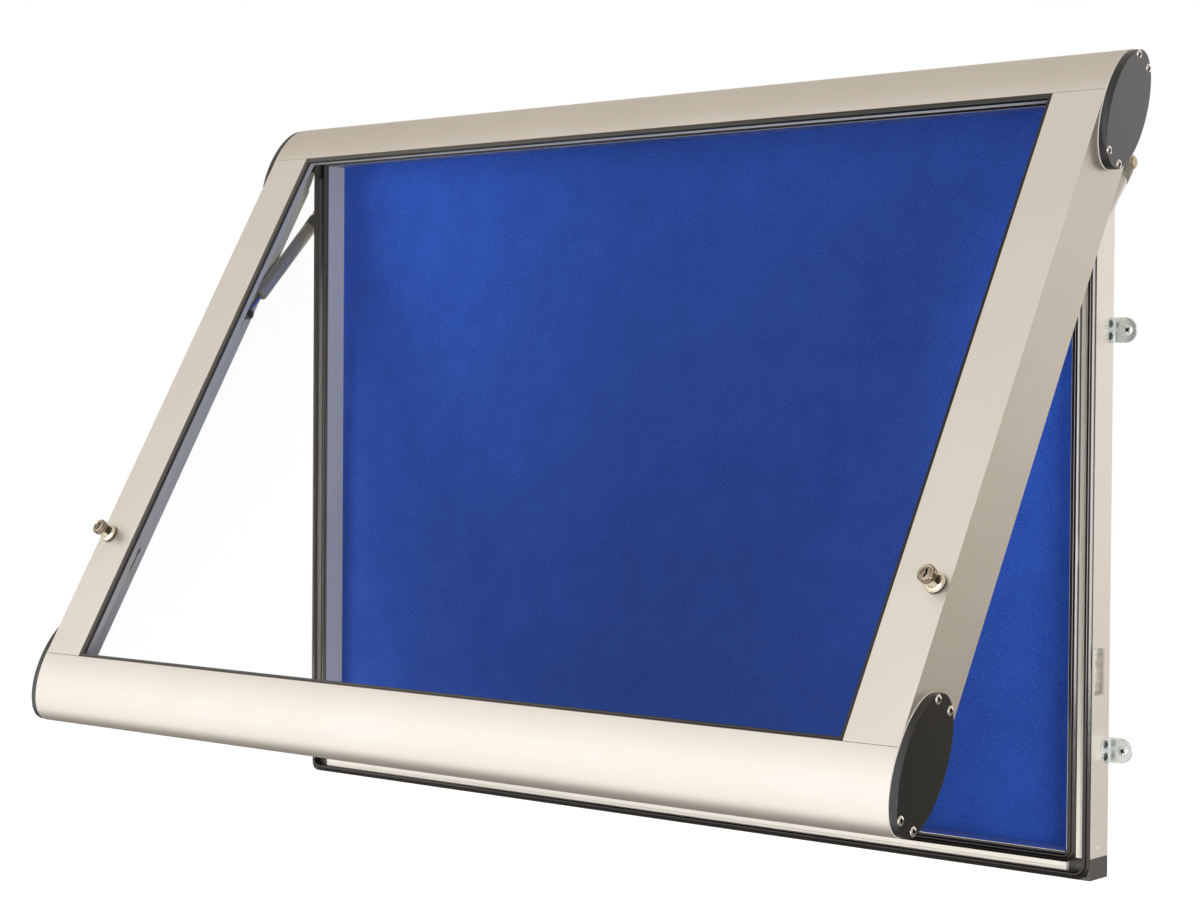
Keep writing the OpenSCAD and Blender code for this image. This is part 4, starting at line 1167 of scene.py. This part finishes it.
def makeSlotLiner(side):
    def placed(x, y, z):
        return sides[side] * x, y, z

    level, height, steps = lockFrame(side).translation.z, slotLiner["height"], slotLiner["steps"]
    wall, low, high = slotLiner["wall"], level - height, level + height
    outline = []
    for grow, order in ((0.0, 1), (wall, -1)):
        reach, half = slotLiner["reach"] + grow, slotLiner["half"] + slotLiner["sideWall"] * grow
        arc = [(slotLiner["wallInside"] - reach * math.sin(math.pi * i / steps),
                slotLiner["middle"] - half * math.cos(math.pi * i / steps)) for i in range(steps + 1)]
        outline += arc[::order]
    shape = prism(outline, placed, low, high)
    for start in (low, high - wall):
        shape.from_mesh(meshOf("linerEnd", prism(outline[:steps + 1], placed, start, start + wall)))
    settle(solid(f"slotLiner.{side}", shape), "liner", (), "case")


for side in sides:
    makeLock(side)
    makeSlotLiner(side)
print("locks made")

# screws and rivets; their heads are drawn with a radius of 1
fastener = {
    "capHead": 4.2, "bracketHead": 3.8, "wallHead": 4.8, "rivetHead": 2.4, "seed": 7, "steps": 28,
    "panProfile": [(0, 0.28), (0.3, 0.275), (0.6, 0.24), (0.82, 0.17), (0.95, 0.08), (1.0, 0.02), (1.0, 0.0),
                   (0, 0.0)],
    "rivetProfile": [(0, 0.2), (0.22, 0.2), (0.3, 0.3), (0.6, 0.26), (0.85, 0.15), (1.0, 0.0), (0, 0.0)],
    "recess": (1.0, 0.32, 0.56), "recessLevel": 0.33, "recessReach": 0.56, "recessTop": 0.21,
    "bracketScrew": (502, -9), "bracketSpread": 5.5, "wallScrew": (515, -2),      # x and y
    "rivetDepth": -18, "sideRivets": (-274.5, 365.0), "endRivets": 467.5,
}


def makeHead(name, profile, angle=40):
    shape = lathe(bmesh.new(), profile, Matrix.Scale(1 / mm, 4), fastener["steps"])
    return solid(name, shape, angle=angle)


def makePanHead():
    # with a cross recess, whose faces are painted dark as painted shade
    head = makeHead("panHead", fastener["panProfile"])
    for turn in (0, math.pi / 2):
        shape = bmesh.new()
        bmesh.ops.create_cube(shape, size=1 / mm, matrix=Matrix.Rotation(turn, 4, "Z")
                              @ Matrix.Translation((0, 0, fastener["recessLevel"] / mm))
                              @ Matrix.Diagonal((*fastener["recess"], 1)))
        cutBy(head, solid("recess", shape))
    shade(head.data, 40)
    sunk = head.data.attributes.new("recess", "BOOLEAN", "FACE")
    for item, face in zip(sunk.data, head.data.polygons):
        item.value = face.center.z < fastener["recessTop"] and face.center.xy.length < fastener["recessReach"]
    return head


def scattered(name, head, radius, points, finish, nodes, pose=stay, body=None):
    # points are (place, direction) before the pose
    mesh = bpy.data.meshes.new(name)
    mesh.from_pydata([pose @ Vector(place) * mm for place, _ in points], [], [])
    facing = mesh.attributes.new("facing", "FLOAT_VECTOR", "POINT")
    for item, (_, direction) in zip(facing.data, points):
        item.vector = pose.to_3x3() @ Vector(direction)
    piece = grown(name, mesh, fastenerTree, {"Head": head, "Head radius": fastener[radius] * mm,
                                             "Seed": fastener["seed"], "Material": materials[finish],
                                             "Recess material": materials["keywayBlack"]})
    settle(piece, None, nodes, body)


panHead, rivetHead = makePanHead(), makeHead("rivetHead", fastener["rivetProfile"], 30)
capFace, depthMiddle = doorWidth / 2 + cap["thickness"], doorFront + door["depth"] / 2
capPoints = [((sign * capFace, depthMiddle + across * door["channelAcross"],
               edge + up * door["channelHeight"]), (sign, 0, 0))
             for sign in sides.values() for edge in (openTop, openBottom)
             for up in (1, -1) for across in (1, -1)]
bracketPoints, wallPoints, rivetPoints = [], [], []
spread, depth = fastener["bracketSpread"], fastener["rivetDepth"]
for level in ("lower", "upper"):
    height = middleOf(f"wall_bracket_{level}_right").z
    for sign in sides.values():
        x, y = fastener["bracketScrew"]
        bracketPoints += [((sign * x, y, height + dz), (sign, 0, 0)) for dz in (-spread, spread)]
        x, y = fastener["wallScrew"]
        wallPoints.append(((sign * x, y, height), (0, -1, 0)))
for sign in sides.values():
    rivetPoints += [((sign * caseHalf, depth, z), (sign, 0, 0)) for z in fastener["sideRivets"]]
    rivetPoints += [((sign * fastener["endRivets"], depth, z), (0, 0, up))
                    for z, up in ((caseBottom, -1), (caseTop, 1))]
scattered("endCapScrews", panHead, "capHead", capPoints, "screwSteel", "end_cap_screws", doorOpen)
scattered("bracketScrews", panHead, "bracketHead", bracketPoints, "boltSteel", "bracket_screws")
scattered("wallScrews", panHead, "wallHead", wallPoints, "wallSteel", (), body="case")
scattered("cornerRivets", rivetHead, "rivetHead", rivetPoints, "anodisedCase", "corner_rivets")
for head in (panHead, rivetHead):
    bpy.data.objects.remove(head)
print("fasteners made")
